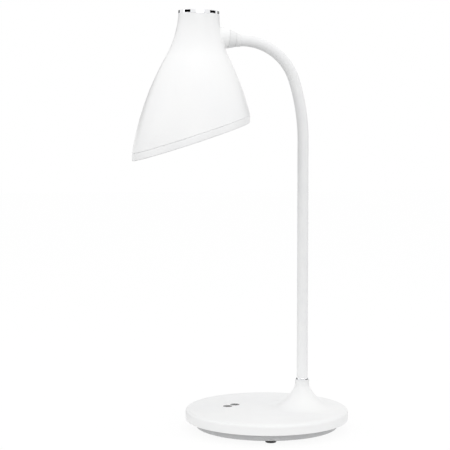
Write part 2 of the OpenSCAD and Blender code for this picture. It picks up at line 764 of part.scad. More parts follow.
module led_carrier() color([0.75, 0.76, 0.78]) in_head() difference() {
    intersection() {
        column(rim_inner_outline(-board_rise - carrier_top_h / cos(mouth_deg), 0.4));
        slab(-board_rise - carrier_h / cos(mouth_deg), carrier_t);
    }
    on_board(carrier_h) {
        translate([0, 0, -over]) cylinder(r = plug_r + 0.4, h = carrier_t + 2 * over);
        at_posts() translate([0, 0, -over]) cylinder(r = carrier_screw_r + hole_gap, h = carrier_t + 2 * over);
        at_board_screws() translate([0, 0, -over])
            cylinder(r = led_board_screw_r + 0.1, h = carrier_t + 2 * over);
    }
}

module led_board() color([0.95, 0.95, 0.93]) in_head() on_board(0) difference() {
    cylinder(r = led_board_r, h = pcb_t);
    at_board_screws() translate([0, 0, -over])
        cylinder(r = led_board_screw_r + 2 * hole_gap, h = pcb_t + 2 * over);
    at_posts() translate([0, 0, -over]) cylinder(r = carrier_screw_head_r + 0.8, h = pcb_t + 2 * over);
}

// The chips stand in two rings under the board
led_size = [3.5, 2.8, 0.8];
led_outer_ring_r = 24;
led_inner_ring_r = 13;
module led_chips() color([0.95, 0.85, 0.4]) in_head() on_board(0) {
    for (i = [0:led_count - 1]) rotate([0, 0, (i + 0.5) * 360 / led_count])
        translate([0, led_outer_ring_r, -led_size.z / 2]) cube(led_size, center = true);
    for (i = [0:led_count / 2 - 1]) rotate([0, 0, i * 720 / led_count])
        translate([0, led_inner_ring_r, -led_size.z / 2]) cube(led_size, center = true);
}

module carrier_screws() color(steel) in_head() on_board(carrier_h) at_posts()
    mirror([0, 0, 1]) screw(carrier_screw_head_r, carrier_screw_head_h, carrier_screw_r - 0.1, carrier_screw_l);

module led_board_screws() color(steel) in_head() on_board(0) at_board_screws()
    mirror([0, 0, 1]) screw(small_head_r, small_head_h, led_board_screw_r, carrier_top_h);

module lead_plug() color([0.92, 0.92, 0.9]) in_head() on_board(carrier_h) cylinder(r = plug_r, h = plug_l);

base_cover();
base_tray();
rubber_feet();
tray_screws();
counterweight();
counterweight_screws();
control_board();
driver_parts();
control_board_screws();
touch_pads();
touch_marks();
charging_socket();
socket_board();
socket_lead();
foot_trim_ring();
lower_fitting();
stem_washer();
stem_nut();
sleeve(0);  // sleeve_0
sleeve(1);  // sleeve_1
sleeve(2);  // sleeve_2
sleeve(3);  // sleeve_3
sleeve(4);  // sleeve_4
sleeve(5);  // sleeve_5
sleeve(6);  // sleeve_6
hose(0);  // hose_0
hose(1);  // hose_1
hose(2);  // hose_2
hose(3);  // hose_3
hose(4);  // hose_4
hose(5);  // hose_5
hose(6);  // hose_6
lead(0);  // lead_0
lead(1);  // lead_1
lead(2);  // lead_2
lead(3);  // lead_3
lead(4);  // lead_4
lead(5);  // lead_5
lead(6);  // lead_6
neck_ferrule();
neck_collar();
upper_fitting();
head_washer();
head_nut();
shade_shell();
neck_trim_ring();
top_cap();
rim_bezel();
diffuser();
led_carrier();
led_board();
led_chips();
carrier_screws();
led_board_screws();
lead_plug();
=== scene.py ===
# %% [markdown]
# # A desk lamp with a bell shade on a bendable arm
# The real lamp is a white moulded base, a steel hose in a silicone sleeve that stays where it is bent, and a bell
# shade cut off at a slant. Its solids come from CAD, exact but bare. This lesson dresses them: each part that shows
# gets a smooth surface of its own, worked out from the same sizes, and a finish made of shader nodes.

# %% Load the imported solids
import json
import bmesh
import bpy
import numpy as np
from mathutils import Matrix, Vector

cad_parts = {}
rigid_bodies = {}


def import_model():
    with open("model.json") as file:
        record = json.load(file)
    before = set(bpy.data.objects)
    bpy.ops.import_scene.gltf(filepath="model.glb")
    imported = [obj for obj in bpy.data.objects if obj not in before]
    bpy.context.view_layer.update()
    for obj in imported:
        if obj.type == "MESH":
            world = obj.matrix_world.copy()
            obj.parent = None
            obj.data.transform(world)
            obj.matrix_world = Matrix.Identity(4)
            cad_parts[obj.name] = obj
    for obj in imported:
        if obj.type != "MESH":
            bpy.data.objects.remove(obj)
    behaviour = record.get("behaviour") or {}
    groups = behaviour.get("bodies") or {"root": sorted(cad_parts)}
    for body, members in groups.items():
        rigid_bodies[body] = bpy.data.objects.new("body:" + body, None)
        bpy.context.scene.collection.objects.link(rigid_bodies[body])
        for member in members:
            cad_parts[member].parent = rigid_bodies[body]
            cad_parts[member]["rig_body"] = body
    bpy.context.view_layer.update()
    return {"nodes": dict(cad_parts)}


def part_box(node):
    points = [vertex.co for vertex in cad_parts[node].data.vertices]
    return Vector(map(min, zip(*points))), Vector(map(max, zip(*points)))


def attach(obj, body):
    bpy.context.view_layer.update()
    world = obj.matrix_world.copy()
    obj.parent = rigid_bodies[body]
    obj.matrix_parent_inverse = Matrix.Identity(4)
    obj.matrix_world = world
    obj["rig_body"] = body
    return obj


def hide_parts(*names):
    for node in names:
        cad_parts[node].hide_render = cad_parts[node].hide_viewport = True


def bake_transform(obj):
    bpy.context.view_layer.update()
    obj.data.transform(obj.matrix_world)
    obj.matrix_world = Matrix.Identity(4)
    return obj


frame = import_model()
NODE = frame["nodes"]
MM = 0.001
TURN = 2 * np.pi

# %% [markdown]
# ## The camera
# A photograph fixes its camera: where it stood, how far it looked down and how long its lens was. They were found by
# fitting the round base, the level rings and the arm's known plane to what the picture shows, so the numbers below
# are written down, not tuned by eye. Blender's lens is given for a 36 mm wide sensor.

# %% Place the camera
AZIMUTH = np.radians(80.0)     # the camera looks 80 degrees away from +Y, from the lamp's side
DISTANCE = 1261.6              # from the base's centre, along the table
HEIGHT = 282.9                 # above the table
ASIDE = -41.1                  # how far to the left of the base's centre it stands
LOOK_DOWN = np.radians(3.7)
PICTURE, FOCAL = 450.0, 1290.6  # the picture's width and the lens's focal length, both in pixels
SENSOR = 36.0                  # the sensor's width in mm
to_right = np.array([np.cos(AZIMUTH), np.sin(AZIMUTH), 0.0])
away = np.array([-np.sin(AZIMUTH), np.cos(AZIMUTH), 0.0])

lens = bpy.data.cameras.new("camera")
lens.sensor_width = SENSOR
lens.lens = FOCAL / PICTURE * SENSOR
camera = bpy.data.objects.new("camera", lens)
camera.location = (ASIDE * to_right - DISTANCE * away + [0, 0, HEIGHT]) * MM
camera.rotation_euler = (np.pi / 2 - LOOK_DOWN, 0.0, AZIMUTH)
bpy.context.scene.collection.objects.link(camera)
bpy.context.scene.camera = camera
bpy.context.scene.view_settings.view_transform = "Standard"
print("camera at", [round(x, 3) for x in camera.location], "lens", round(lens.lens, 2))

# %% [markdown]
# ## From a grid of points to a mesh
# Nearly every part here is a sheet bent into shape: a turned profile, a tube along a line, a bell. Each is written as
# a grid of points, worked out all at once with numpy. Joining neighbours in the grid gives the faces, and joining the
# last row to the first closes the form. A closed form has a signed volume; if it comes out negative, the faces point
# inwards and are turned round. A row that has shrunk to one point is a pole, and its copies are welded together.


# %% Angles, faces and volume of a grid
def full_turn(columns):
    """Evenly spaced angles that go once round, as one row."""
    return np.linspace(0, TURN, columns, endpoint=False)[None, :]


def grid_faces(rows, columns, close_rows):
    """Quads between neighbouring rows and columns. Columns always close; rows close unless they end in poles."""
    row = np.arange(rows if close_rows else rows - 1)[:, None]
    column = np.arange(columns)[None, :]
    next_row, next_column = (row + 1) % rows, (column + 1) % columns
    corners = [row * columns + column, row * columns + next_column,
               next_row * columns + next_column, next_row * columns + column]
    return np.stack(np.broadcast_arrays(*corners), -1).reshape(-1, 4)


def signed_volume(points, faces):
    """Sum over the faces, cut into triangles, of the volume of each one's tetrahedron with the origin."""
    a, b, c, d = (points[faces[:, k]] for k in range(4))
    return float((np.einsum("ij,ij->i", a, np.cross(b, c)) + np.einsum("ij,ij->i", a, np.cross(c, d))).sum() / 6)


# %% Helpers that turn grids into one piece
SHARP = np.radians(32.0)       # faces that meet at more than this show an edge
POLE = 1e-6                    # a row smaller than this, in mm, is one point
WELD = 1e-7                    # its copies are welded within this distance, in m


def make_piece(name, *grids):
    """One object from closed grids of points in millimetres, each [row, column, xyz]."""
    points, faces, first, poles = [], [], 0, False
    for grid in grids:
        pole = bool(np.ptp(grid[0], axis=0).max() < POLE)
        flat = grid.reshape(-1, 3) * MM
        quads = grid_faces(grid.shape[0], grid.shape[1], not pole)
        if signed_volume(flat - flat.mean(0), quads) < 0:
            quads = quads[:, ::-1]
        points.append(flat)
        faces.append(quads + first)
        first += len(flat)
        poles = poles or pole
    mesh = bpy.data.meshes.new(name)
    mesh.from_pydata(np.concatenate(points), [], np.concatenate(faces))
    if poles:
        work = bmesh.new()
        work.from_mesh(mesh)
        bmesh.ops.remove_doubles(work, verts=work.verts, dist=WELD)
        work.to_mesh(mesh)
        work.free()
    return finish_piece(name, mesh)


def finish_piece(name, mesh):
    """Smooth shading with sharp edges where faces meet at more than SHARP, and an object to hold the mesh."""
    mesh.update()
    mesh.shade_smooth()
    mesh.set_sharp_from_angle(angle=SHARP)
    piece = bpy.data.objects.new(name, mesh)
    bpy.context.scene.collection.objects.link(piece)
    print(name, "faces:", len(mesh.polygons))
    return piece


# %% A helper that cuts one piece out of another
def cut_out(piece, cutter):
    """Takes the cutter's volume out of the piece, keeps the result as the piece's own mesh and drops the cutter."""
    cut = piece.modifiers.new("cut", "BOOLEAN")
    cut.operation, cut.solver, cut.object = "DIFFERENCE", "EXACT", cutter
    graph = bpy.context.evaluated_depsgraph_get()
    mesh = bpy.data.meshes.new_from_object(piece.evaluated_get(graph))
    name = piece.name
    for old in (piece, cutter):
        bpy.data.objects.remove(old)
    return finish_piece(name, mesh)


# %% [markdown]
# ## Taking a solid's place
# Each solid belongs to a body, which moves as one, and to a slot, which names its material. A dressed piece takes
# both over from the solid that it stands for, and that solid is then no longer shown; the arm's lengths take only the
# slot. Solids deep inside, such as the counterweight and the boards, keep their own shape and only get a finish.

# %% A helper that lets a piece take a solid's place
SLOT_OF = {node: NODE[node].data.materials[0].name.split(".")[0] for node in NODE}


def stand_for(piece, *nodes, rides=True):
    """The piece takes over the first solid's finish, and its body unless rides is False, and hides all the solids that
    it stands for.
    """
    if rides:
        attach(piece, NODE[nodes[0]]["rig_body"])
    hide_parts(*nodes)
    SLOT_OF[piece.name] = SLOT_OF[nodes[0]]


# %% [markdown]
# ## Rounded profiles
# A part that is turned or swept is drawn as a cross-section. A real edge is never quite sharp, so each corner of the
# drawing has a radius. A Bevel modifier could round the finished mesh, but here the rounding is part of the drawing,
# so every edge gets the radius that its maker would give it.


# %% Helpers for rounded profiles
def parabola(t, start, handle, end):
    """A curve that leaves its start towards the handle: (1 - t)^2 * start + 2 * t * (1 - t) * handle + t^2 * end."""
    return (1 - t) ** 2 * start + 2 * t * (1 - t) * handle + t ** 2 * end


def rounded(corners, steps=6):
    """A closed flat profile from corners (x, y, radius). Each corner is replaced by a short curve that starts and ends
    the radius away from it along both sides: a parabola through the two ends with the corner as its middle handle."""
    corner = np.array(corners, float)
    here, radius = corner[:, :2], np.maximum(corner[:, 2:3], 0.02)
    to_last, to_next = np.roll(here, 1, 0) - here, np.roll(here, -1, 0) - here
    start = here + to_last / np.linalg.norm(to_last, axis=1, keepdims=True) * radius
    end = here + to_next / np.linalg.norm(to_next, axis=1, keepdims=True) * radius
    t = np.linspace(0, 1, steps)[None, :, None]
    return parabola(t, start[:, None], here[:, None], end[:, None]).reshape(-1, 2)


# %% A helper that turns a profile round an axis
def turned(profile, place=(0, 0, 0), columns=128):
    """A profile of (radius, height) carried round a vertical axis: place + (radius * cos, radius * sin, height)."""
    angle = full_turn(columns)
    radius, height = profile[:, 0, None], profile[:, 1, None]
    return np.stack([radius * np.cos(angle), radius * np.sin(angle), height + 0 * angle], -1) + np.array(place, float)


def box_edges(inner, outer, low, high, radius):
    """The corners of a ring's cross-section, all rounded by the same radius."""
    return [(inner, low, radius), (outer, low, radius), (outer, high, radius), (inner, high, radius)]


# %% [markdown]
# ## The base cover
# The cover is one moulding: a round lid with a soft edge, and a flare that sweeps up to the collar where the stem
# enters. It could be a lathe form with the flare joined by a Boolean, but the joint would show as a crease. Instead
# one grid covers both. Its spokes start at the stem, which stands behind the middle, and run out to evenly spaced
# points of the rim, so rows near the stem are circles about the stem and rows near the rim are circles about the
# base. The flare's curve ends in a short parabola that meets the flat top without a step.

# %% Rows of the cover
BASE_R, TOP_Z, LOW_Z, WALL = 80.0, 20.6, 10.3, 2.4
STEM_Y, COLLAR_TOP = 36.0, 47.6
FLARE_OUT, FLARE_Z, FLARE_R = 39.2, 55.25, 35.0
ABOUT_STEM, ABOUT_BASE = 0.0, 1.0


def rows_of(centre, pairs):
    """Marks each (radius, height) row with the centre that it goes round."""
    pairs = np.array(pairs, float)
    return np.column_stack([np.full(len(pairs), centre), pairs])


def flare_rows(arc_r, from_z, to_z, count):
    """The hollow curve: an arc about a point outside the stem, radius = out - arc_r * cos, height = z - arc_r * sin."""
    fall = np.linspace(np.arcsin((FLARE_Z - from_z) / arc_r), np.arcsin((FLARE_Z - to_z) / arc_r), count)
    return np.column_stack([FLARE_OUT - arc_r * np.cos(fall), FLARE_Z - arc_r * np.sin(fall)])


def spoked_rings(rows, columns=320):
    """Rings on shared spokes. A spoke leaves the stem at the angle of an evenly spaced point of the rim, and a ring
    about the base meets it at -y * sin + sqrt(radius^2 - (y * cos)^2) from the stem."""
    rim = full_turn(columns)
    spoke = np.arctan2(BASE_R * np.sin(rim) - STEM_Y, BASE_R * np.cos(rim))
    centre, radius, height = (rows[:, k, None] for k in range(3))
    inside = np.sqrt(np.maximum(radius ** 2 - (STEM_Y * np.cos(spoke)) ** 2, 0))
    reach = np.where(centre == ABOUT_BASE, inside - STEM_Y * np.sin(spoke), radius)
    return np.stack([reach * np.cos(spoke), STEM_Y + reach * np.sin(spoke), height + 0 * spoke], -1)


EDGE_R = 3.0
quarter = np.linspace(0, np.pi / 2, 13)
cover_rows = np.concatenate([  # (radius, height) from the collar's bore out over the lid and back inside
    rows_of(ABOUT_STEM, [(4.2, COLLAR_TOP), (6.75, COLLAR_TOP), (6.98, 47.54), (7.12, 47.38), (7.17, 47.15),
                         (7.12, 46.95), (7.02, 46.82), (7.0, 46.6), (7.0, 44.6), (7.0, 43.0)]),
    rows_of(ABOUT_STEM, [(7.03, 42.2), (7.12, 41.5), (7.3, 40.7)]),
    rows_of(ABOUT_STEM, flare_rows(FLARE_R, 40.0, 21.48, 26)),
    rows_of(ABOUT_STEM, [(31.6, 21.10), (33.2, 20.84), (34.8, 20.68), (36.4, 20.61), (38.2, TOP_Z)]),
    rows_of(ABOUT_BASE, [(76.2, TOP_Z), (76.9, TOP_Z)]),
    rows_of(ABOUT_BASE, np.column_stack([BASE_R - EDGE_R + EDGE_R * np.sin(quarter),
                                         TOP_Z - EDGE_R + EDGE_R * np.cos(quarter)])),
    rows_of(ABOUT_BASE, [(BASE_R, 17.3), (BASE_R, 10.9), (79.95, 10.6), (79.8, 10.4), (79.5, LOW_Z), (77.9, LOW_Z),
                         (77.7, 10.4), (77.6, 10.6), (77.6, 17.6), (77.4, 18.0), (77.0, 18.2), (76.3, 18.2)]),
    rows_of(ABOUT_STEM, flare_rows(FLARE_R + WALL, 18.2, 29.5, 14)),
    rows_of(ABOUT_STEM, [(4.4, 29.5), (4.2, 29.7)]),
])
cover_grid = spoked_rings(cover_rows)
print("cover rows:", len(cover_rows), "of", cover_grid.shape[1], "points")

# %% [markdown]
# The two touch marks lie in shallow round recesses, and the charging socket looks out of a rounded slot in the rear
# wall. These are real cuts with sharp edges, so here a Boolean is the right tool: the grid stays plain, and the
# cutters, with the same clearance as the solids have, are taken out of it. Four posts under the lid take the screws
# that hold the tray.

# %% Cut the marks' recesses and the socket's slot
MARKS = [(-13.1, -36.8), (-19.7, -28.2)]
MARK_R, MARK_T, MARK_GAP = 4.7, 0.4, 0.05
SOCKET_WIDE, SOCKET_HIGH, SOCKET_Z, SOCKET_GAP = 8.94, 3.26, 15.53, 0.2


def ring_spots(radius, first_deg):
    """Four places (x, y) on a ring about the base's centre, a quarter turn apart."""
    angle = np.radians(first_deg + 90 * np.arange(4))
    return np.column_stack([radius * np.cos(angle), radius * np.sin(angle)])


FOOT_SPOTS, SCREW_SPOTS = ring_spots(60.0, -8), ring_spots(63.2, -8 + 45)


def stadium(half_length, radius, columns=64):
    """A slot's outline: a circle whose right half is moved right and whose left half is moved left."""
    angle = full_turn(columns)[0] + np.pi / columns
    return np.column_stack([radius * np.cos(angle) + np.sign(np.cos(angle)) * half_length, radius * np.sin(angle)])


def disc(radius, low, high, x, y, columns=96):
    """A plain closed cylinder for cutting, with poles at both ends."""
    return turned(np.array([(0, low), (radius, low), (radius, high), (0, high)], float), (x, y, 0), columns=columns)


slot_line = stadium((SOCKET_WIDE - SOCKET_HIGH) / 2, SOCKET_HIGH / 2 + SOCKET_GAP)
slot_x, slot_z = slot_line.T
slot_grid = np.stack([np.column_stack([slot_x * k, y + 0 * slot_x, SOCKET_Z + slot_z * k])
                      for k, y in ((0, BASE_R - 4), (1, BASE_R - 4), (1, BASE_R + 2), (0, BASE_R + 2))])
post = rounded(box_edges(inner=1.3, outer=3.4, low=5.3, high=18.6, radius=0.2), 3)
posts = [turned(post, (x, y, 0), columns=40) for x, y in SCREW_SPOTS]
cover = make_piece("base_lid", cover_grid, *posts)
recess = make_piece("recess", *[disc(MARK_R + MARK_GAP, TOP_Z - MARK_T, 23.0, x, y) for x, y in MARKS], slot_grid)
cover = cut_out(cover, recess)
stand_for(cover, "base_cover")
print("marks at", MARKS, "posts at", SCREW_SPOTS.round(1).tolist())

# %% [markdown]
# ## The tray, its feet and its screws
# Set back under the lid is a shallow tray. It is a plain turned part, so its cross-section is drawn once and carried
# round. A moulder rounds every edge a little, because a sharp edge chips and a mould cannot fill it; the rounding is
# what catches the light. The rubber feet are pushed into round pockets in its floor, and the four screws between
# them have domed heads with a cross recess.

# %% Turn the tray and cut its pockets
tray_profile = rounded([(0.5, 3.2, 0.1), (70, 3.2, 1.1), (70, 10.9, 0.3), (77.3, 10.9, 0.25), (77.3, 12.9, 0.25),
                        (68, 12.9, 0.3), (68, 5.2, 1.0), (0.5, 5.2, 0.1)])
tray_lower = make_piece("tray_lower", turned(tray_profile, columns=256))
FOOT_HOLE_R, SCREW_HOLE_R = 5.3, 1.6
pockets = [disc(FOOT_HOLE_R, 1.0, 4.0, x, y) for x, y in FOOT_SPOTS]
pockets += [disc(SCREW_HOLE_R, 1.0, 7.0, x, y, 48) for x, y in SCREW_SPOTS]
tray_lower = cut_out(tray_lower, make_piece("pockets", *pockets))
stand_for(tray_lower, "base_tray")

# %% Feet with a soft edge and a ring groove underneath
foot_profile = np.concatenate([[(0, 0.0)], rounded([(2.9, 0, 0.1), (3.0, 0.35, 0.1), (3.6, 0.35, 0.1), (3.7, 0, 0.1),
                                                    (5.2, 0, 0.7), (5.2, 4.0, 0.2)], 5), [(0, 4.0)]])
feet = make_piece("soft_feet", *[turned(foot_profile, (x, y, 0), columns=72) for x, y in FOOT_SPOTS])
stand_for(feet, "rubber_feet")


# %% Screws with domed heads and a cross recess
def cross_bar(length, width, low, high, x, y, turn):
    """One bar of a cross recess: a tapered block whose four sides lean in towards its tip."""
    angle = turn + np.pi / 4 + np.arange(4) * np.pi / 2
    outline = np.column_stack([np.sign(np.cos(angle - turn)) * length, np.sign(np.sin(angle - turn)) * width])
    spin = np.array([[np.cos(turn), np.sin(turn)], [-np.sin(turn), np.cos(turn)]])
    outline = outline @ spin
    scale = [(0, low), (1, low), (0.55, high), (0, high)]
    return np.stack([np.column_stack([outline * k + [x, y], np.full(4, z)]) for k, z in scale])


dome = np.linspace(0.25, np.pi / 2, 8)
screw_profile = np.concatenate([
    [(0, 1.5)], np.column_stack([2.7 * np.sin(dome) ** 0.9, 3.0 - 1.5 * np.cos(dome)]),
    [(2.7, 3.2), (1.3, 3.2), (1.3, 11.6), (0.9, 12.2), (0, 12.2)]])
screws = make_piece("tray_screw_heads", *[turned(screw_profile, (x, y, 0), columns=48) for x, y in SCREW_SPOTS])
CROSS_TURN = 0.3
for turn in (CROSS_TURN, CROSS_TURN + np.pi / 2):
    bars = [cross_bar(length=1.45, width=0.32, low=1.0, high=2.6, x=x, y=y, turn=turn) for x, y in SCREW_SPOTS]
    screws = cut_out(screws, make_piece("crosses", *bars))
stand_for(screws, "tray_screws")

# %% [markdown]
# ## The arm's line
# The arm goes straight up, leans forward over a wide arc and then turns to level over a tight one. A line like this
# is easiest to get by walking it: at each small step the lean grows by its share, and the step's end is found from
# the lean. Adding the steps up with a running sum gives the whole line without a loop. The lead inside is walked the
# same way, with two tight turns of its own.


# %% Walk a line in the arm's plane
WALK_STEP = 0.1


def walk(y, z, lean_deg, moves):
    """Rows of (s, y, z, lean). Each move is (length, turn in degrees) and spreads its turn evenly; the place is the
    running sum of step * (-sin(lean), cos(lean)), with the lean taken at the middle of each step."""
    lengths, turns = (np.array(column, float) for column in zip(*moves))
    ends = np.concatenate([[0], np.cumsum(lengths)])
    leans = np.radians(lean_deg + np.concatenate([[0], np.cumsum(turns)]))
    s = np.linspace(0, ends[-1], int(round(ends[-1] / WALK_STEP)) + 1)
    middle = np.interp((s[1:] + s[:-1]) / 2, ends, leans)
    step = np.diff(s)
    return np.column_stack([s, y + np.concatenate([[0], np.cumsum(-np.sin(middle) * step)]),
                            z + np.concatenate([[0], np.cumsum(np.cos(middle) * step)]), np.interp(s, ends, leans)])


def at(line, s):
    """The line's y, z and lean at s."""
    return [np.interp(s, line[:, 0], line[:, k]) for k in (1, 2, 3)]


def spot(line, s):
    """The place on a line at s, as a point in metres."""
    y, z, _ = at(line, s)
    return (0.0, float(y) * MM, float(z) * MM)


FOOT_Z, STRAIGHT, BEYOND = 49.6, 233.4, 60
WIDE_R, WIDE_DEG, TIGHT_R, TIGHT_DEG = 195, 18, 53.5, 72
WIDE, TIGHT = WIDE_R * np.radians(WIDE_DEG), TIGHT_R * np.radians(TIGHT_DEG)
WIDE_S, ARM_L = STRAIGHT + WIDE, STRAIGHT + WIDE + TIGHT
arm_line = walk(STEM_Y, FOOT_Z, 0, [(STRAIGHT, 0), (WIDE, WIDE_DEG), (TIGHT, TIGHT_DEG), (BEYOND, 0)])
END_Y, END_Z, END_LEAN = (float(value) for value in at(arm_line, ARM_L))
print("arm", round(ARM_L, 2), "mm long, ends at y", round(END_Y, 2), "z", round(END_Z, 2), "lean", round(END_LEAN, 3))

# %% [markdown]
# ## The gooseneck
# A real gooseneck bends anywhere; the model bends at six joints. Here each length of sleeve, hose and lead is made as
# one piece in its place at rest and is tied to no body. The hose is wound from a folded steel strip, which shows as a
# fine spiral ridge; the sleeve over it is smooth.


# %% Tubes along the line
HOSE_PITCH = 2.4


def tube_rings(line, s, radius, columns):
    """Rings round a line: place + radius * (sin(a) across + cos(a) outward), where outward is (0, cos, sin) of the
    lean. The radius may change with the row and the column."""
    angle = full_turn(columns)
    y, z, lean = (value[:, None] for value in at(line, s))
    radius = np.broadcast_to(radius, (len(s), columns))
    out = radius * np.cos(angle)
    return np.stack([radius * np.sin(angle), y + out * np.cos(lean), z + out * np.sin(lean)], -1)


def tube(line, start, end, outer, inner, step=2.0, columns=48, ridge=0.0):
    """A closed tube. A ridge makes the outer wall a spiral, whose radius at s along it and an angle a round it is
    outer - ridge * (1 + cos(2 pi * s / pitch - a)) / 2. A ridged tube's bore is plain and needs few rows."""
    s = np.linspace(start, end, int(np.ceil((end - start) / step)) + 1)
    outside = outer - ridge * (1 + np.cos(TURN * s[:, None] / HOSE_PITCH - full_turn(columns))) / 2
    back = s[::-1] if ridge == 0 else np.linspace(end, start, 9)
    return np.concatenate([tube_rings(line, s, outside, columns), tube_rings(line, back, inner, columns)])


# %% Six lengths of sleeve, hose and lead
# CUTS are the ends of the lengths along the arm, and BLENDS give a stretch of the arm for each length. The last
# sleeve ends inside the ferrule. Its hose reaches on into the head's fitting, and its lead ends short of it, where the
# lead in the shade goes on.
IN_FERRULE, HOSE_ON, LEAD_SHORT = 7.0, 4.0, 2.0
CUTS = [0.0, 75.0, 137.0, 199.0, (230.0 + WIDE_S) / 2, (WIDE_S + ARM_L) / 2, ARM_L + IN_FERRULE]
BLENDS = [(14.0, 74.0)] + [(CUTS[k], CUTS[k + 1]) for k in range(1, 5)] + [(ARM_L - 18.0, ARM_L + 2.4)]
SLEEVE, HOSE, LEAD = (5.4, 4.6), (4.5, 2.3), (1.5, 0.8)
for k, bend in enumerate(BLENDS):
    start, end, (low, high) = CUTS[k], CUTS[k + 1], (spot(arm_line, s) for s in bend)
    hose_end, lead_end = (end + HOSE_ON, end - LEAD_SHORT) if end == CUTS[-1] else (end, end)
    for kind, grid in (("sleeve", tube(arm_line, start, end, *SLEEVE)),
                       ("hose", tube(arm_line, start, hose_end, *HOSE, step=0.3, columns=32, ridge=0.25)),
                       ("lead", tube(arm_line, start, lead_end, *LEAD, columns=20))):
        piece = make_piece(f"bending_{kind}_{k + 1}", grid)
        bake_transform(piece)
        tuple(low)
        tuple(high)
        stand_for(piece, f"{kind}_{k}", f"{kind}_{k + 1}", rides=False)

# %% The lead where it leaves the arm, in the base and in the head
LEAD_Y, LEAD_Z, LEAD_TURN_R = -26.0, 14.9, 6.0
IN_SHADE, IN_PLUG = 39.9, 1.5
lead_turn = (LEAD_TURN_R * np.pi / 2, 90)
lead_low = walk(LEAD_Y, LEAD_Z, -90, [(STEM_Y - LEAD_TURN_R - LEAD_Y, 0), lead_turn,
                                      (FOOT_Z - LEAD_Z - LEAD_TURN_R, 0)])
plug_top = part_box("lead_plug")[1][2] / MM
lead_high = walk(END_Y, END_Z, 90, [(IN_SHADE, 0), lead_turn, (END_Z - LEAD_TURN_R - plug_top + IN_PLUG, 0)])
low_grid = tube(lead_low, 0, lead_low[-1, 0], *LEAD, step=1.0, columns=20)
high_grid = tube(lead_high, IN_FERRULE - LEAD_SHORT, lead_high[-1, 0], *LEAD, step=1.0, columns=20)
low_piece, high_piece = make_piece("lead_under_lid", low_grid), make_piece("lead_in_shade", high_grid)
stand_for(low_piece, "lead_0")
stand_for(high_piece, "lead_6")

# %% [markdown]
# ## The rings of the two joints
# A chrome ring closes the foot of the stem. At the head a ferrule grips the sleeve, and a collar stands between it
# and the shade, with a thin groove on each side. The joint's cones do not follow the arm: their axis rises a little
# towards the shade, while their bores stay straight. So each row of their profiles says how far it is tilted, from 0
# for a bore to 1 for an outer face, and is placed between the straight and the tilted position.

# %% Turn the rings
AT_FOOT, AT_END = (0, STEM_Y, 0), np.array([0, END_Y, END_Z])
JOINT_TILT, PIVOT = np.radians(7.5), 2.4


def joint_rows(profile, columns=128):
    """Rows (radius, s, share) round the arm's end. A point at s along the arm and h above it tilts about the pivot to
    s = pivot + (s - pivot) * cos - h * sin and h = (s - pivot) * sin + h * cos; the share mixes both places."""
    radius, s, share = (np.asarray(profile, float)[:, k, None] for k in range(3))
    angle = full_turn(columns)
    h = radius * np.sin(angle)
    s = s + 0 * angle
    tilted_s = PIVOT + (s - PIVOT) * np.cos(JOINT_TILT) - h * np.sin(JOINT_TILT)
    tilted_h = (s - PIVOT) * np.sin(JOINT_TILT) + h * np.cos(JOINT_TILT)
    s, h = s + share * (tilted_s - s), h + share * (tilted_h - h)
    return AT_END + np.stack([radius * np.cos(angle), -s, h], -1)


def shared(corners, *shares):
    """Rounds the corners and gives each one's rows its share of the tilt."""
    profile = rounded(corners)
    return np.column_stack([profile, np.repeat(shares, len(profile) // len(corners))])


foot_edges = box_edges(inner=4.2, outer=6.2, low=COLLAR_TOP, high=FOOT_Z, radius=0.45)
foot_ring = make_piece("stem_foot_ring", turned(rounded(foot_edges), AT_FOOT))
ferrule = make_piece("sleeve_ferrule", joint_rows(shared(
    [(5.45, 2.4, 0.1), (5.9, 2.4, 0.3), (6.7, 7.0, 0.35), (5.45, 7.0, 0.1)], 0, 0, 1, 0.6)))
collar = make_piece("head_collar", joint_rows(shared(
    [(4.2, 7.0, 0.1), (6.2, 7.0, 0.05), (6.2, 7.5, 0.05), (7.2, 7.5, 0.35), (9.1, 14.0, 0.35), (4.2, 14.0, 0.1)],
    1, 1, 1, 1, 1, 1)))
stand_for(foot_ring, "foot_trim_ring")
stand_for(ferrule, "neck_ferrule")
stand_for(collar, "neck_collar")

# %% [markdown]
# ## The bell shade
# The shade is turned, apart from its mouth, which is cut at a slant. Its outline is two arcs: a hollow one that
# opens out of the neck and a long full one down to the rim. In the grid every column runs from the upper seam to the
# mouth at its own angle, so the columns are stretched: the mouth's plane cuts the front lower than the back. Where
# exactly depends on the radius there, which again depends on the height, so a few rounds of putting one into the
# other settle it.

# %% The bell's outline and the slanted mouth
NECK_REACH, NECK_RISE, LEAN = 42.7, 24.2, np.radians(1.8)
HEAD_Y, SEAM_Z = END_Y - NECK_REACH, END_Z + NECK_RISE
NECK_R, NECK_LEAN, HOLLOW_R, HOLLOW_LEAN, FULL_R = 19.8, np.radians(2), 94.6, np.radians(28), 273.5
MOUTH_T, RISE, SHELL = 113.1, np.tan(np.radians(20)), 2.2
MOUTH_ROUNDS = 14              # another round would move nothing that can be seen
HOLLOW_T = HOLLOW_R * (np.sin(HOLLOW_LEAN) - np.sin(NECK_LEAN))
HOLLOW_END = NECK_R + HOLLOW_R * (np.cos(NECK_LEAN) - np.cos(HOLLOW_LEAN))


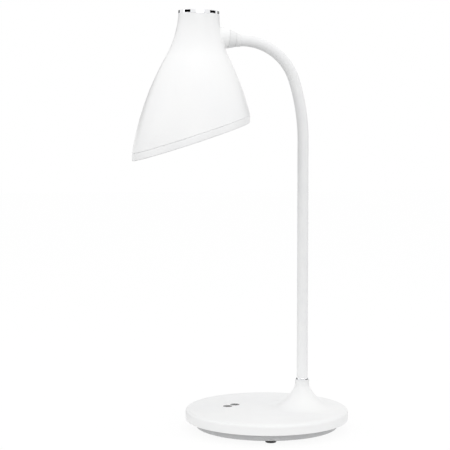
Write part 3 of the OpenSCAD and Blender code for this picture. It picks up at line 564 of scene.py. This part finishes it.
def bell(t):
    """Radius of the outline and cosine of its lean, t below the upper seam. The lean's sine grows by t / HOLLOW_R on
    the hollow arc and falls by t / FULL_R on the full one; the radius follows from the cosine."""
    t = np.asarray(t, float)
    sine = np.where(t < HOLLOW_T, np.sin(NECK_LEAN) + t / HOLLOW_R, np.sin(HOLLOW_LEAN) - (t - HOLLOW_T) / FULL_R)
    cosine = np.sqrt(1 - sine ** 2)
    radius = np.where(t < HOLLOW_T, NECK_R + HOLLOW_R * (np.cos(NECK_LEAN) - cosine),
                      HOLLOW_END + FULL_R * (cosine - np.cos(HOLLOW_LEAN)))
    return radius, cosine


def mouth_depth(turn, wall=0.0):
    """How far below the seam the mouth's plane meets the outline, or the inner wall, at an angle from the back:
    t = MOUTH_T - radius(t) * cos(turn) * RISE, settled by repetition."""
    t = np.full_like(turn, MOUTH_T)
    for _ in range(MOUTH_ROUNDS):
        radius, cosine = bell(t)
        t = MOUTH_T - (radius - wall / cosine) * np.cos(turn) * RISE
    return t


def in_head(radius, turn, t):
    """Puts points at a radius, an angle from the back and a depth below the seam into the leaning shade's place."""
    x, y, z = radius * np.sin(turn), radius * np.cos(turn), -t + 0 * radius
    return np.stack([x + 0 * z, HEAD_Y + y * np.cos(LEAN) + z * np.sin(LEAN),
                     SEAM_Z - y * np.sin(LEAN) + z * np.cos(LEAN)], -1)


# %% The shell as one grid, outside and inside
around = full_turn(256)
# Rows start 0.3 mm below the seam, the first step a short one, and end just above the mouth, where the edge takes over.
down = np.concatenate([[0.0], np.linspace(0.35, 114.0, 96) / 114.35])[:, None]
outer_mouth = mouth_depth(around)
outer_t = 0.3 + down * (outer_mouth - 0.75)
outer_rows = in_head(bell(outer_t)[0], around, outer_t)
edge = np.array([(0.0, 0.25), (0.03, 0.12), (0.12, 0.03), (0.3, 0.0), (1.6, 0.0), (1.9, 0.1), (2.1, 0.3)])
edge_radius = bell(outer_mouth)[0] - edge[:, 0, None]
edge_rows = in_head(edge_radius, around, MOUTH_T - edge_radius * np.cos(around) * RISE - edge[:, 1, None])
inner_mouth = mouth_depth(around, SHELL)
inner_t = 0.3 + np.linspace(1, 0, 60)[:, None] * (inner_mouth - 0.9)
inner_radius, inner_cosine = bell(inner_t)
inner_rows = in_head(inner_radius - SHELL / inner_cosine, around, inner_t)
top = np.array([(17.8, 0.0), (19.3, 0.0), (19.6, 0.03), (19.74, 0.14)])
top_rows = in_head(top[:, 0, None] + 0 * around, around, top[:, 1, None] + 0 * around)
shell = np.concatenate([outer_rows, edge_rows, inner_rows, top_rows])
print("shade rows:", len(shell), "mouth from", round(float(outer_mouth.min()), 1), "to",
      round(float(outer_mouth.max()), 1), "mm below the seam")

# %% [markdown]
# The boss is a short cone on the joint's tilted axis, cut off by a straight cylinder that grows out of the shade.
# Where it meets the bell the mould has a fillet. For each of its columns the meeting point is found by halving an
# interval, and so is a point of the bell a little further out; a parabola from the boss over the first to the second
# is the fillet.


# %% Where the boss meets the bell
HALVINGS, REACH_ROUNDS = 40, 20  # more of either would change nothing that can be seen


def meets_bell(radius, turn):
    """Distance along the arm at which a line beside the boss's middle, at a radius and an angle, enters the bell."""
    near, far = np.full_like(turn, 8.0), np.full_like(turn, 42.0)  # surely before the bell and surely inside it
    for _ in range(HALVINGS):
        middle = (near + far) / 2
        y, z = END_Y - middle - HEAD_Y, END_Z + LIFT + radius * np.sin(turn) - SEAM_Z
        local_y, depth = y * np.cos(LEAN) - z * np.sin(LEAN), -(y * np.sin(LEAN) + z * np.cos(LEAN))
        outside = np.hypot(radius * np.cos(turn), local_y) > bell(depth)[0]
        near, far = np.where(outside, middle, near), np.where(outside, far, middle)
    return near


BOSS_START, BOSS_CONE, BOSS_TIP, BOSS_ROOT, BOSS_END = 14.5, 4.2, 9.3, 10.6, 27.3
LIFT = (BOSS_START + BOSS_CONE - PIVOT) * np.sin(JOINT_TILT)
RIM_S, RIM_R, SOFTNESS = 14.8, 9.4, 5.0
FILLET_MIN, FILLET_MAX, FILLET_ROOM = 0.25, 2.0, 0.5


def boss_radius(s, turn):
    """Reach from the boss's middle to its outside. The cone's own radius is tip + (root - tip) * a / length at a along
    the tilted axis; the reach that lands on it is settled by repetition and is rounded off into the cylinder's by
    a soft minimum, -log(exp(-k * one) + exp(-k * other)) / k, where k is SOFTNESS."""
    reach = np.full(np.broadcast(s, turn).shape, BOSS_TIP)
    for _ in range(REACH_ROUNDS):
        h = LIFT + reach * np.sin(turn)
        along = PIVOT + (s - PIVOT) * np.cos(JOINT_TILT) + h * np.sin(JOINT_TILT)
        beside = np.hypot(reach * np.cos(turn), h * np.cos(JOINT_TILT) - (s - PIVOT) * np.sin(JOINT_TILT))
        reach = reach + BOSS_TIP + (BOSS_ROOT - BOSS_TIP) * (along - BOSS_START) / BOSS_CONE - beside
    return BOSS_ROOT - np.log(np.exp(-SOFTNESS * (reach - BOSS_ROOT)) + 1.0) / SOFTNESS


# %% The boss with its fillet
about_arm = full_turn(192)[0]
hit = meets_bell(boss_radius(18.0, about_arm), about_arm)
for _ in range(3):
    hit = meets_bell(boss_radius(hit, about_arm), about_arm)
rim_s = PIVOT + (RIM_S - PIVOT) * np.cos(JOINT_TILT) - RIM_R * np.sin(about_arm) * np.sin(JOINT_TILT)
# The fillet takes what room there is between the joint's rim and the bell, which is little at the top.
fillet = np.clip(0.45 * (hit - rim_s), FILLET_MIN, FILLET_MAX)
hit_r = boss_radius(hit, about_arm)
foot = meets_bell(hit_r + fillet, about_arm)
under = meets_bell(hit_r + fillet + FILLET_ROOM, about_arm)
t = np.linspace(0, 1, 9)[:, None]
curve_s = parabola(t, hit - fillet, hit, foot + 0.03)
curve_r = parabola(t, boss_radius(hit - fillet, about_arm), hit_r, hit_r + fillet)
cone_s = rim_s + np.linspace(0, 1, 12)[:-1, None] * (hit - fillet - rim_s)
boss_s = np.concatenate([cone_s, curve_s, [under + 0.25], [0 * hit + BOSS_END]])
boss_r = np.concatenate([boss_radius(cone_s, about_arm), curve_r, [hit_r + fillet + FILLET_ROOM],
                         [0 * hit + BOSS_ROOT]])
boss_outside = AT_END + np.stack([boss_r * np.cos(about_arm), -boss_s, LIFT + boss_r * np.sin(about_arm)], -1)
boss_face = joint_rows([(4.2, BOSS_END, 0), (4.2, 14.0, 1), (8.45, 14.0, 1), (8.5, 14.5, 1), (9.0, 14.5, 1),
                        (9.17, 14.53, 1), (9.3, 14.63, 1)], 192)
shade = make_piece("bell_shade", shell, np.concatenate([boss_face, boss_outside]))
stand_for(shade, "shade_shell")

# %% [markdown]
# ## The rim band, the neck ring and the cap
# The band under the mouth is a separate moulding, pushed into the shade with a spigot, so a hairline seam runs round
# above it. Its cross-section is swept round the mouth's outline and every corner slides along the mouth's plane. The
# chrome ring and the cap on the neck are plain turned parts that lean with the shade.

# %% Sweep the rim band
band_corners = rounded([(0, 0.5, 0.2), (0, 7.4, 0.9), (5.2, 7.4, 0.4), (5.2, 5.7, 0.3), (2.2, 5.7, 0.1),
                        (2.2, 2.0, 0.1), (5.3, 2.0, 0.2), (5.3, -4.0, 0.3), (3.7, -4.0, 0.3), (3.7, 0.08, 0.1),
                        (0.5, 0.08, 0.1), (0.5, 0.5, 0.08)])
band_radius = bell(outer_mouth)[0] - band_corners[:, :1]
band_depth = MOUTH_T + band_corners[:, 1:] - band_radius * np.cos(around) * RISE
band = make_piece("rim_band", in_head(band_radius, around, band_depth))
stand_for(band, "rim_bezel")


# %% Turn the neck ring and the cap
def turned_in_head(profile):
    """A profile of (radius, height above the seam) carried round the shade's axis."""
    angle = full_turn(160)
    return in_head(profile[:, :1] + 0 * angle, angle, -profile[:, 1:] + 0 * angle)


ring_edges = box_edges(inner=18.2, outer=19.8, low=0.0, high=3.6, radius=0.55)
neck_ring = make_piece("neck_ring", turned_in_head(rounded(ring_edges, 8)))
cap_profile = np.concatenate([[(0, 3.05)], rounded([(18.1, 3.0, 0.4), (18.1, -0.1, 0.1), (17.4, -0.1, 0.1),
                                                    (17.4, -5.0, 0.2), (15.8, -5.0, 0.2), (15.8, 0.4, 0.1)]),
                              [(0, 0.4)]])
cap = make_piece("neck_cap", turned_in_head(cap_profile))
stand_for(neck_ring, "neck_trim_ring")
stand_for(cap, "top_cap")

# %% [markdown]
# ## Finishes from nodes
# A finish is a shader and the small unevenness of its surface. Each pattern here is worked out by nodes from Object
# coordinates, that is, from where a point lies on the lamp, so it needs no picture and no unwrapping, and its size can
# be given in millimetres. A pattern can drive three things: the colour a little, the roughness, and a bump that tilts
# the light. Whatever is the same all over stays a plain number on the shader itself.


# %% A material for each slot
FINISH = {}


def set_plain(node, **sockets):
    """Gives plain values to a node's own sockets. Coat_Weight means the socket Coat Weight."""
    for socket, value in sockets.items():
        node.inputs[socket.replace("_", " ")].default_value = value


def new_material(name, **sockets):
    """A material, its node tree and its shader, whose sockets have plain values."""
    material = bpy.data.materials.new(name)
    material.use_nodes = True
    shader = material.node_tree.nodes["Principled BSDF"]
    set_plain(shader, **sockets)
    return material, material.node_tree, shader


def finish(slot, colour, **sockets):
    """The material of one slot, with a colour that patterns may vary."""
    FINISH[slot], tree, shader = new_material(slot + "_look", Base_Color=(*colour, 1), **sockets)
    print("finish for", slot, "colour", colour)
    return tree, shader


# %% Patterns on Object coordinates
def pattern(tree, kind, size_mm, stretch=(1, 1, 1), turn=(0, 0, 0), **sockets):
    """A texture node of a kind (Noise, Voronoi, Brick) whose features are about size_mm wide, on Object coordinates
    that a Mapping node has stretched and turned."""
    where = tree.nodes.new("ShaderNodeTexCoord")
    mapping = tree.nodes.new("ShaderNodeMapping")
    texture = tree.nodes.new("ShaderNodeTex" + kind)
    set_plain(mapping, Scale=stretch, Rotation=turn)
    set_plain(texture, Scale=1000.0 / size_mm, **sockets)
    tree.links.new(where.outputs["Object"], mapping.inputs["Vector"])
    tree.links.new(mapping.outputs["Vector"], texture.inputs["Vector"])
    return texture


def strength(texture):
    """The texture's grey output: Fac for noise and brick, Distance for Voronoi."""
    return texture.outputs["Distance"] if "Distance" in texture.outputs else texture.outputs["Fac"]


# %% The three things that a pattern drives
def tint(tree, shader, texture, low, high, start=0.35, end=0.65):
    """The base colour runs from low to high while the pattern runs from start to end."""
    ramp = tree.nodes.new("ShaderNodeValToRGB")
    for element, position, colour in zip(ramp.color_ramp.elements, (start, end), (low, high)):
        element.position, element.color = position, (*colour, 1)
    tree.links.new(strength(texture), ramp.inputs["Fac"])
    tree.links.new(ramp.outputs["Color"], shader.inputs["Base Color"])


def smear(tree, shader, texture, low, high):
    """The roughness runs from low to high while the pattern runs from 0.3 to 0.7."""
    span = tree.nodes.new("ShaderNodeMapRange")
    set_plain(span, From_Min=0.3, From_Max=0.7, To_Min=low, To_Max=high)
    tree.links.new(strength(texture), span.inputs["Value"])
    tree.links.new(span.outputs["Result"], shader.inputs["Roughness"])


def bump(tree, shader, texture, height_mm):
    """The surface seems to rise by height_mm where the pattern is 1. A second bump builds on the first."""
    raise_it = tree.nodes.new("ShaderNodeBump")
    set_plain(raise_it, Distance=height_mm * MM)
    tree.links.new(strength(texture), raise_it.inputs["Height"])
    if shader.inputs["Normal"].is_linked:
        tree.links.new(shader.inputs["Normal"].links[0].from_socket, raise_it.inputs["Normal"])
    tree.links.new(raise_it.outputs["Normal"], shader.inputs["Normal"])


# %% A whole finish from noise
def grained(slot, colour, tone, gloss, relief, stretch=(1, 1, 1), **sockets):
    """A finish whose patterns are all noise: tone is (size in mm, detail, low and high colour, and maybe start and end
    of its run), gloss is (size, detail, low and high roughness), and relief lists (size, detail, height in mm)."""
    tree, shader = finish(slot, colour, **sockets)
    for drive, (size_mm, detail, *span) in [(tint, tone), (smear, gloss)] + [(bump, one) for one in relief]:
        drive(tree, shader, pattern(tree, "Noise", size_mm, stretch, Detail=detail), *span)


# %% [markdown]
# ## The white plastics
# The lid of the base and the shade are both white, yet they do not look alike. The lid is moulded in a tool with a
# fine eroded grain and shines softly; the shade comes from a polished tool and is glossy, with the slight waviness,
# the orange peel, that such a shell always has. The band is as white as the shade but satin, and the tray, which only
# shows as a strip in the lid's shadow, is a plain grey.

# %% Lid, shade, band and tray
grained("cover_plastic", (0.82, 0.823, 0.823), tone=(55, 3, (0.81, 0.813, 0.818), (0.83, 0.832, 0.83)),
        gloss=(18, 4, 0.30, 0.42), relief=[(0.45, 2, 0.008)], IOR=1.5)
grained("shade_plastic", (0.90, 0.902, 0.902), tone=(70, 2, (0.892, 0.895, 0.90), (0.908, 0.91, 0.908)),
        gloss=(24, 5, 0.28, 0.36), relief=[(7, 1, 0.010), (0.5, 2, 0.001)], IOR=1.5)
grained("rim_plastic", (0.92, 0.922, 0.924), tone=(40, 3, (0.912, 0.915, 0.92), (0.928, 0.93, 0.93)),
        gloss=(12, 4, 0.30, 0.42), relief=[(0.4, 2, 0.006)], IOR=1.5)
grained("tray_plastic", (0.53, 0.532, 0.537), tone=(30, 4, (0.51, 0.513, 0.52), (0.55, 0.552, 0.555)),
        gloss=(9, 4, 0.42, 0.58), relief=[(0.5, 3, 0.015)], IOR=1.5)

# %% [markdown]
# ## Silicone, rubber and the black marks
# The sleeve is extruded silicone: soft satin, and it holds a little dust, which lies as faint brighter specks. The
# feet are dark rubber with a dull skin, stippled by a cell pattern. The marks are inlays of polished black plastic,
# smooth enough to mirror the room, with the odd wipe mark, so their roughness follows a distorted noise.

# %% Sleeve, feet and marks
grained("sleeve_silicone", (0.85, 0.853, 0.853), tone=(9, 5, (0.84, 0.843, 0.848), (0.86, 0.862, 0.86), 0.4, 0.72),
        gloss=(10, 5, 0.38, 0.50), relief=[(0.6, 2, 0.003)], IOR=1.43)

tree, shader = finish("foot_rubber", (0.05, 0.05, 0.052), IOR=1.5, Sheen_Weight=0.15, Sheen_Roughness=0.6)
tint(tree, shader, pattern(tree, "Noise", 2.5, Detail=5), (0.035, 0.035, 0.037), (0.075, 0.074, 0.072))
smear(tree, shader, pattern(tree, "Noise", 1.6, Detail=3), 0.62, 0.85)
bump(tree, shader, pattern(tree, "Voronoi", 0.5), 0.04)

tree, shader = finish("mark_plastic", (0.012, 0.012, 0.013), IOR=1.5)
tint(tree, shader, pattern(tree, "Noise", 4, Detail=4), (0.008, 0.008, 0.009), (0.018, 0.018, 0.019))
smear(tree, shader, pattern(tree, "Noise", 2.5, Detail=5, Distortion=0.6), 0.12, 0.28)
bump(tree, shader, pattern(tree, "Noise", 0.3, Detail=2), 0.001)

# %% [markdown]
# ## Metals
# A metal's colour is the colour of its reflection, and its character is how the reflection is broken up. Chrome is
# almost a mirror with a few soft smears. Machined steel carries fine lines across its length, which a pattern
# squeezed along one axis gives. The hose's strip is rolled and a little stained, the counterweight is cast iron with
# a pitted, dull skin, and the carrier plate is brushed aluminium.

# %% Chrome
tree, shader = finish("chrome", (0.86, 0.865, 0.88), Metallic=1.0)
tint(tree, shader, pattern(tree, "Noise", 14, Detail=3), (0.84, 0.845, 0.865), (0.88, 0.883, 0.89))
smear(tree, shader, pattern(tree, "Noise", 6, Detail=5, Distortion=0.4), 0.02, 0.06)
bump(tree, shader, pattern(tree, "Noise", 5, Detail=2), 0.001)

# %% Steels of the screws, the fittings and the hose
for slot, low, high, rough, squeeze in (
        ("screw_steel", (0.46, 0.46, 0.47), (0.58, 0.58, 0.58), (0.24, 0.40), (1, 1, 6)),
        ("fitting_steel", (0.50, 0.49, 0.46), (0.62, 0.61, 0.57), (0.20, 0.36), (1, 1, 9)),
        ("hose_steel", (0.42, 0.42, 0.43), (0.56, 0.56, 0.56), (0.28, 0.46), (1, 1, 3))):
    grained(slot, high, tone=(2.4, 5, low, high), gloss=(1.5, 4, *rough), relief=[(0.7, 3, 0.006)], stretch=squeeze,
            Metallic=1.0)

# %% Iron and aluminium
tree, shader = finish("weight_iron", (0.16, 0.16, 0.165), Metallic=0.7)
tint(tree, shader, pattern(tree, "Noise", 7, Detail=7), (0.10, 0.10, 0.105), (0.22, 0.21, 0.20))
smear(tree, shader, pattern(tree, "Noise", 3, Detail=5), 0.5, 0.78)
bump(tree, shader, pattern(tree, "Noise", 1.3, Detail=6, Roughness=0.7), 0.18)

tree, shader = finish("carrier_aluminium", (0.78, 0.785, 0.79), Metallic=1.0)
tint(tree, shader, pattern(tree, "Noise", 1.2, (12, 1, 1), Detail=4), (0.72, 0.725, 0.735), (0.83, 0.835, 0.84))
smear(tree, shader, pattern(tree, "Noise", 2.0, (9, 1, 1), Detail=3), 0.26, 0.42)
bump(tree, shader, pattern(tree, "Noise", 0.5, (10, 1, 1), Detail=2), 0.004)

# %% [markdown]
# ## Boards, their parts and the light
# Solder mask is a thin glossy lacquer over copper tracks, so a board shows a pattern of slightly raised, lighter
# lines. A brick pattern turned by 45 degrees gives runs with short steps, much like tracks. The light chips are
# yellow because of the phosphor that fills them. The diffuser is opal: it lets light in, scatters it and looks
# milky, so some of its colour comes from under its surface.

# %% Control board and light board
for slot, low, high, size in (("circuit_board", (0.012, 0.10, 0.04), (0.03, 0.19, 0.075), 6.0),
                              ("light_board", (0.74, 0.74, 0.72), (0.84, 0.84, 0.82), 9.0)):
    tree, shader = finish(slot, low, Coat_Weight=0.4, Coat_Roughness=0.12)
    tracks = pattern(tree, "Brick", size, turn=(0, 0, np.pi / 4), Mortar_Size=0.06, Mortar_Smooth=0.2,
                     Brick_Width=1.6, Row_Height=0.5)
    tint(tree, shader, tracks, low, high, 0.2, 0.8)
    smear(tree, shader, pattern(tree, "Noise", 5, Detail=4), 0.28, 0.42)
    bump(tree, shader, tracks, 0.03)
    bump(tree, shader, pattern(tree, "Noise", 0.8, Detail=2), 0.004)

# %% What the boards carry, and the touch pads' foam
grained("board_parts", (0.03, 0.03, 0.032), tone=(0.7, 4, (0.022, 0.022, 0.024), (0.06, 0.06, 0.06)),
        gloss=(3, 3, 0.38, 0.6), relief=[(0.35, 2, 0.012)])

tree, shader = finish("pad_foam", (0.10, 0.10, 0.105))
cells = pattern(tree, "Voronoi", 0.9)
tint(tree, shader, cells, (0.05, 0.05, 0.052), (0.16, 0.16, 0.165), 0.1, 0.6)
smear(tree, shader, cells, 0.9, 0.75)
bump(tree, shader, cells, 0.3)

# %% Light chips and diffuser, with some light under the surface
grained("light_chip", (0.85, 0.66, 0.10), tone=(0.8, 3, (0.80, 0.58, 0.06), (0.88, 0.72, 0.16)),
        gloss=(1.0, 2, 0.18, 0.32), relief=[(0.5, 1, 0.02)], Subsurface_Weight=0.15, Subsurface_Scale=0.002)
grained("diffuser_opal", (0.86, 0.865, 0.86), tone=(30, 2, (0.85, 0.855, 0.855), (0.875, 0.875, 0.868)),
        gloss=(8, 4, 0.42, 0.52), relief=[(0.4, 2, 0.008)], IOR=1.49, Subsurface_Weight=0.25, Subsurface_Scale=0.004)

# %% Leads and the plug
for slot, low, high in (("cable_white", (0.76, 0.76, 0.75), (0.82, 0.82, 0.81)),
                        ("cable_dark", (0.03, 0.03, 0.032), (0.06, 0.06, 0.062)),
                        ("plug_nylon", (0.74, 0.73, 0.69), (0.81, 0.80, 0.76))):
    grained(slot, high, tone=(4, 4, low, high), gloss=(2, 3, 0.36, 0.52), relief=[(0.5, 2, 0.01)])
print("finishes:", len(FINISH))

# %% [markdown]
# ## Dressing everything
# Every piece took over the slot of a solid, so one loop over all meshes can look up each one's material by its slot.
# The solids came with a material slot; a mesh made here has none yet, so it gets one first.

# %% Give every piece and every solid its finish
dressed = 0
for thing in bpy.data.objects:
    if thing.type == "MESH" and thing.name in SLOT_OF:
        if not thing.material_slots:
            thing.data.materials.append(None)
        for holder in thing.material_slots:
            holder.material = FINISH[SLOT_OF[thing.name]]
        dressed += 1
print("pieces and solids with a finish:", dressed)

# %% [markdown]
# ## The white room
# The picture was taken in a white studio. A plain white world would do for the background, but it would also light
# the lamp from all sides and wash out its shading. So the room's white is only for what looks straight at it, in a
# mirror or through glass: the Light Path node tells these rays from the ones that light the lamp, which get a calmer
# level.


# %% White room
def looking_rays(tree):
    """1 for rays from the camera, off a mirror or through glass, else 0: the largest of three Light Path outputs."""
    path = tree.nodes.new("ShaderNodeLightPath")
    found = path.outputs["Is Camera Ray"]
    for output in ("Is Glossy Ray", "Is Transmission Ray"):
        larger = tree.nodes.new("ShaderNodeMath")
        larger.operation = "MAXIMUM"
        tree.links.new(found, larger.inputs[0])
        tree.links.new(path.outputs[output], larger.inputs[1])
        found = larger.outputs[0]
    return found


def split_rays(tree, lighting, looked_at, end):
    """The end node shows one shader node to the rays that light the lamp and another to those that look."""
    either = tree.nodes.new("ShaderNodeMixShader")
    tree.links.new(looking_rays(tree), either.inputs["Fac"])
    tree.links.new(lighting.outputs[0], either.inputs[1])
    tree.links.new(looked_at.outputs[0], either.inputs[2])
    tree.links.new(either.outputs["Shader"], end.inputs["Surface"])


ROOM_LEVEL, WHITE_LEVEL = 0.95, 1.0
world = bpy.data.worlds.new("studio")
bpy.context.scene.world = world
world.use_nodes = True
tree = world.node_tree
room, white = tree.nodes["Background"], tree.nodes.new("ShaderNodeBackground")
for background, level in ((room, ROOM_LEVEL), (white, WHITE_LEVEL)):
    set_plain(background, Color=(1, 1, 1, 1), Strength=level)
split_rays(tree, room, white, tree.nodes["World Output"])
print("room lights at", ROOM_LEVEL, "and shows at", WHITE_LEVEL)

# %% [markdown]
# ## The table
# The table is white in the same way: what looks at it sees a glow, mixed with a small share of its real shading, which
# carries the lamp's soft shadow. For the light that it throws back, it is bright only close to the base, as if the
# lamp stood on a small white sheet, so the base's wall is well lit and the arm's underside stays dark.

# %% White table
TABLE_HALF = 6.0               # half the table's side, in m
SHEET_R, FADED_R = 0.09, 0.19  # where the white sheet starts to fade and where it is gone, in m from the middle
SHEET_WHITE, TABLE_WHITE = 0.86, 0.28
GLOW_SHARE, PAPER = 0.92, (0.98, 0.98, 0.98, 1)


def flat_sheet(name, half_width, half_height):
    """A rectangle about the origin that faces +Z, with its corners at (x * half_width, y * half_height), x, y = +-1."""
    mesh = bpy.data.meshes.new(name)
    corners = [(x * half_width, y * half_height, 0) for x, y in ((-1, -1), (1, -1), (1, 1), (-1, 1))]
    mesh.from_pydata(corners, [], [(0, 1, 2, 3)])
    return bpy.data.objects.new(name, mesh)


table = flat_sheet("table", TABLE_HALF, TABLE_HALF)
bpy.context.scene.collection.objects.link(table)
table_paint, tree, shader = new_material("table_white", Roughness=0.9)
where, reach, fade = (tree.nodes.new("ShaderNode" + kind) for kind in ("TexCoord", "VectorMath", "MapRange"))
reach.operation = "LENGTH"
set_plain(fade, From_Min=SHEET_R, From_Max=FADED_R, To_Min=SHEET_WHITE, To_Max=TABLE_WHITE)
tree.links.new(where.outputs["Object"], reach.inputs[0])
tree.links.new(reach.outputs["Value"], fade.inputs["Value"])
tree.links.new(fade.outputs["Result"], shader.inputs["Base Color"])
paper, glow = tree.nodes.new("ShaderNodeBsdfDiffuse"), tree.nodes.new("ShaderNodeEmission")
seen = tree.nodes.new("ShaderNodeMixShader")
set_plain(paper, Color=PAPER)
set_plain(seen, Fac=GLOW_SHARE)
tree.links.new(paper.outputs["BSDF"], seen.inputs[1])
tree.links.new(glow.outputs["Emission"], seen.inputs[2])
split_rays(tree, shader, seen, tree.nodes["Material Output"])
table.data.materials.append(table_paint)
print("table throws back", SHEET_WHITE, "of the light near the base and", TABLE_WHITE, "further out")

# %% [markdown]
# ## Soft lamps
# Wide lamps give the soft light of a studio: one above, a strong one behind the camera and a weaker one on each side.
# A wide lamp's shadow has no hard edge, and its highlight on a round white form is a broad, faint band. Each place is
# given by how far round to the left of the camera it lies, seen from the base.

# %% Place the lamps
ARM_MIDDLE, NECK = (0, -0.02, 0.25), (0, -0.02, 0.4)


def bearing(degrees_left, distance, z):
    """A point around the lamp: so many degrees to the left of the camera's side, at a distance in metres."""
    turn = np.radians(degrees_left)
    return np.cos(turn) * -away * distance - np.sin(turn) * to_right * distance + [0, 0, z]


def aim(thing, place, target):
    """Stands at a place and turns its -Z to the target: tilt from the vertical, then turn about Z."""
    gap = np.array(target) - place
    thing.location = place
    thing.rotation_euler = (np.arctan2(np.hypot(gap[0], gap[1]), -gap[2]), 0, np.arctan2(-gap[0], gap[1]))
    bpy.context.scene.collection.objects.link(thing)


# name, degrees to the left, distance, height and side in m, watts
LAMPS = [("top", 0, 0.5, 1.75, 1.3, 2.7), ("front", -5, 1.7, 0.35, 1.3, 7.4),
         ("left", 75, 1.6, 0.45, 1.0, 3.2), ("right", -80, 1.6, 0.35, 1.0, 3.2)]
for name, degrees_left, distance, z, side, watts in LAMPS:
    light = bpy.data.lights.new(name, "AREA")
    light.shape, light.size, light.energy = "SQUARE", side, watts
    aim(bpy.data.objects.new(name, light), bearing(degrees_left, distance, z), ARM_MIDDLE)
print("lamps:", len(LAMPS), "watts:", round(sum(lamp[-1] for lamp in LAMPS), 1))

# %% [markdown]
# ## Dark cards
# Chrome shows what stands around it, and in an all white room it would look like white plastic. Seven cards, black or
# grey, put the dark bars into the rings that a studio's dark corners put there: four stand at the height of the neck,
# and three lie flat round the base. Only glossy rays see them, so they cast no shadow and take no light away.

# %% Place the cards
# name, degrees to the left, distance, height, half width and half height in m, grey
CARDS = [("card_left", 68, 1.0, 0.50, 0.33, 0.10, 0.0), ("card_right", -84, 1.0, 0.50, 0.40, 0.10, 0.0),
         ("card_far_left", 155, 1.0, 0.50, 0.40, 0.10, 0.0), ("card_far_right", -142, 1.0, 0.50, 0.3, 0.10, 0.3),
         ("card_low_left", 122, 0.27, 0.004, 0.11, 0.12, 0.0), ("card_low_right", -95, 0.25, 0.004, 0.12, 0.10, 0.0),
         ("card_low_front", 4, 0.27, 0.003, 0.14, 0.17, 0.70)]
LIES_BELOW = 0.1
for name, degrees_left, distance, z, half_width, half_height, grey in CARDS:
    dull = new_material(name, Base_Color=(grey, grey, grey, 1), Roughness=1.0, Specular_IOR_Level=0.0)
    card = flat_sheet(name, half_width, half_height)
    card.data.materials.append(dull[0])
    card.visible_camera = card.visible_diffuse = card.visible_shadow = False
    card.visible_transmission = card.visible_volume_scatter = False
    place = bearing(degrees_left, distance, z)
    aim(card, place, place + [0, 0, 1] if z < LIES_BELOW else NECK)
print("cards:", len(CARDS))
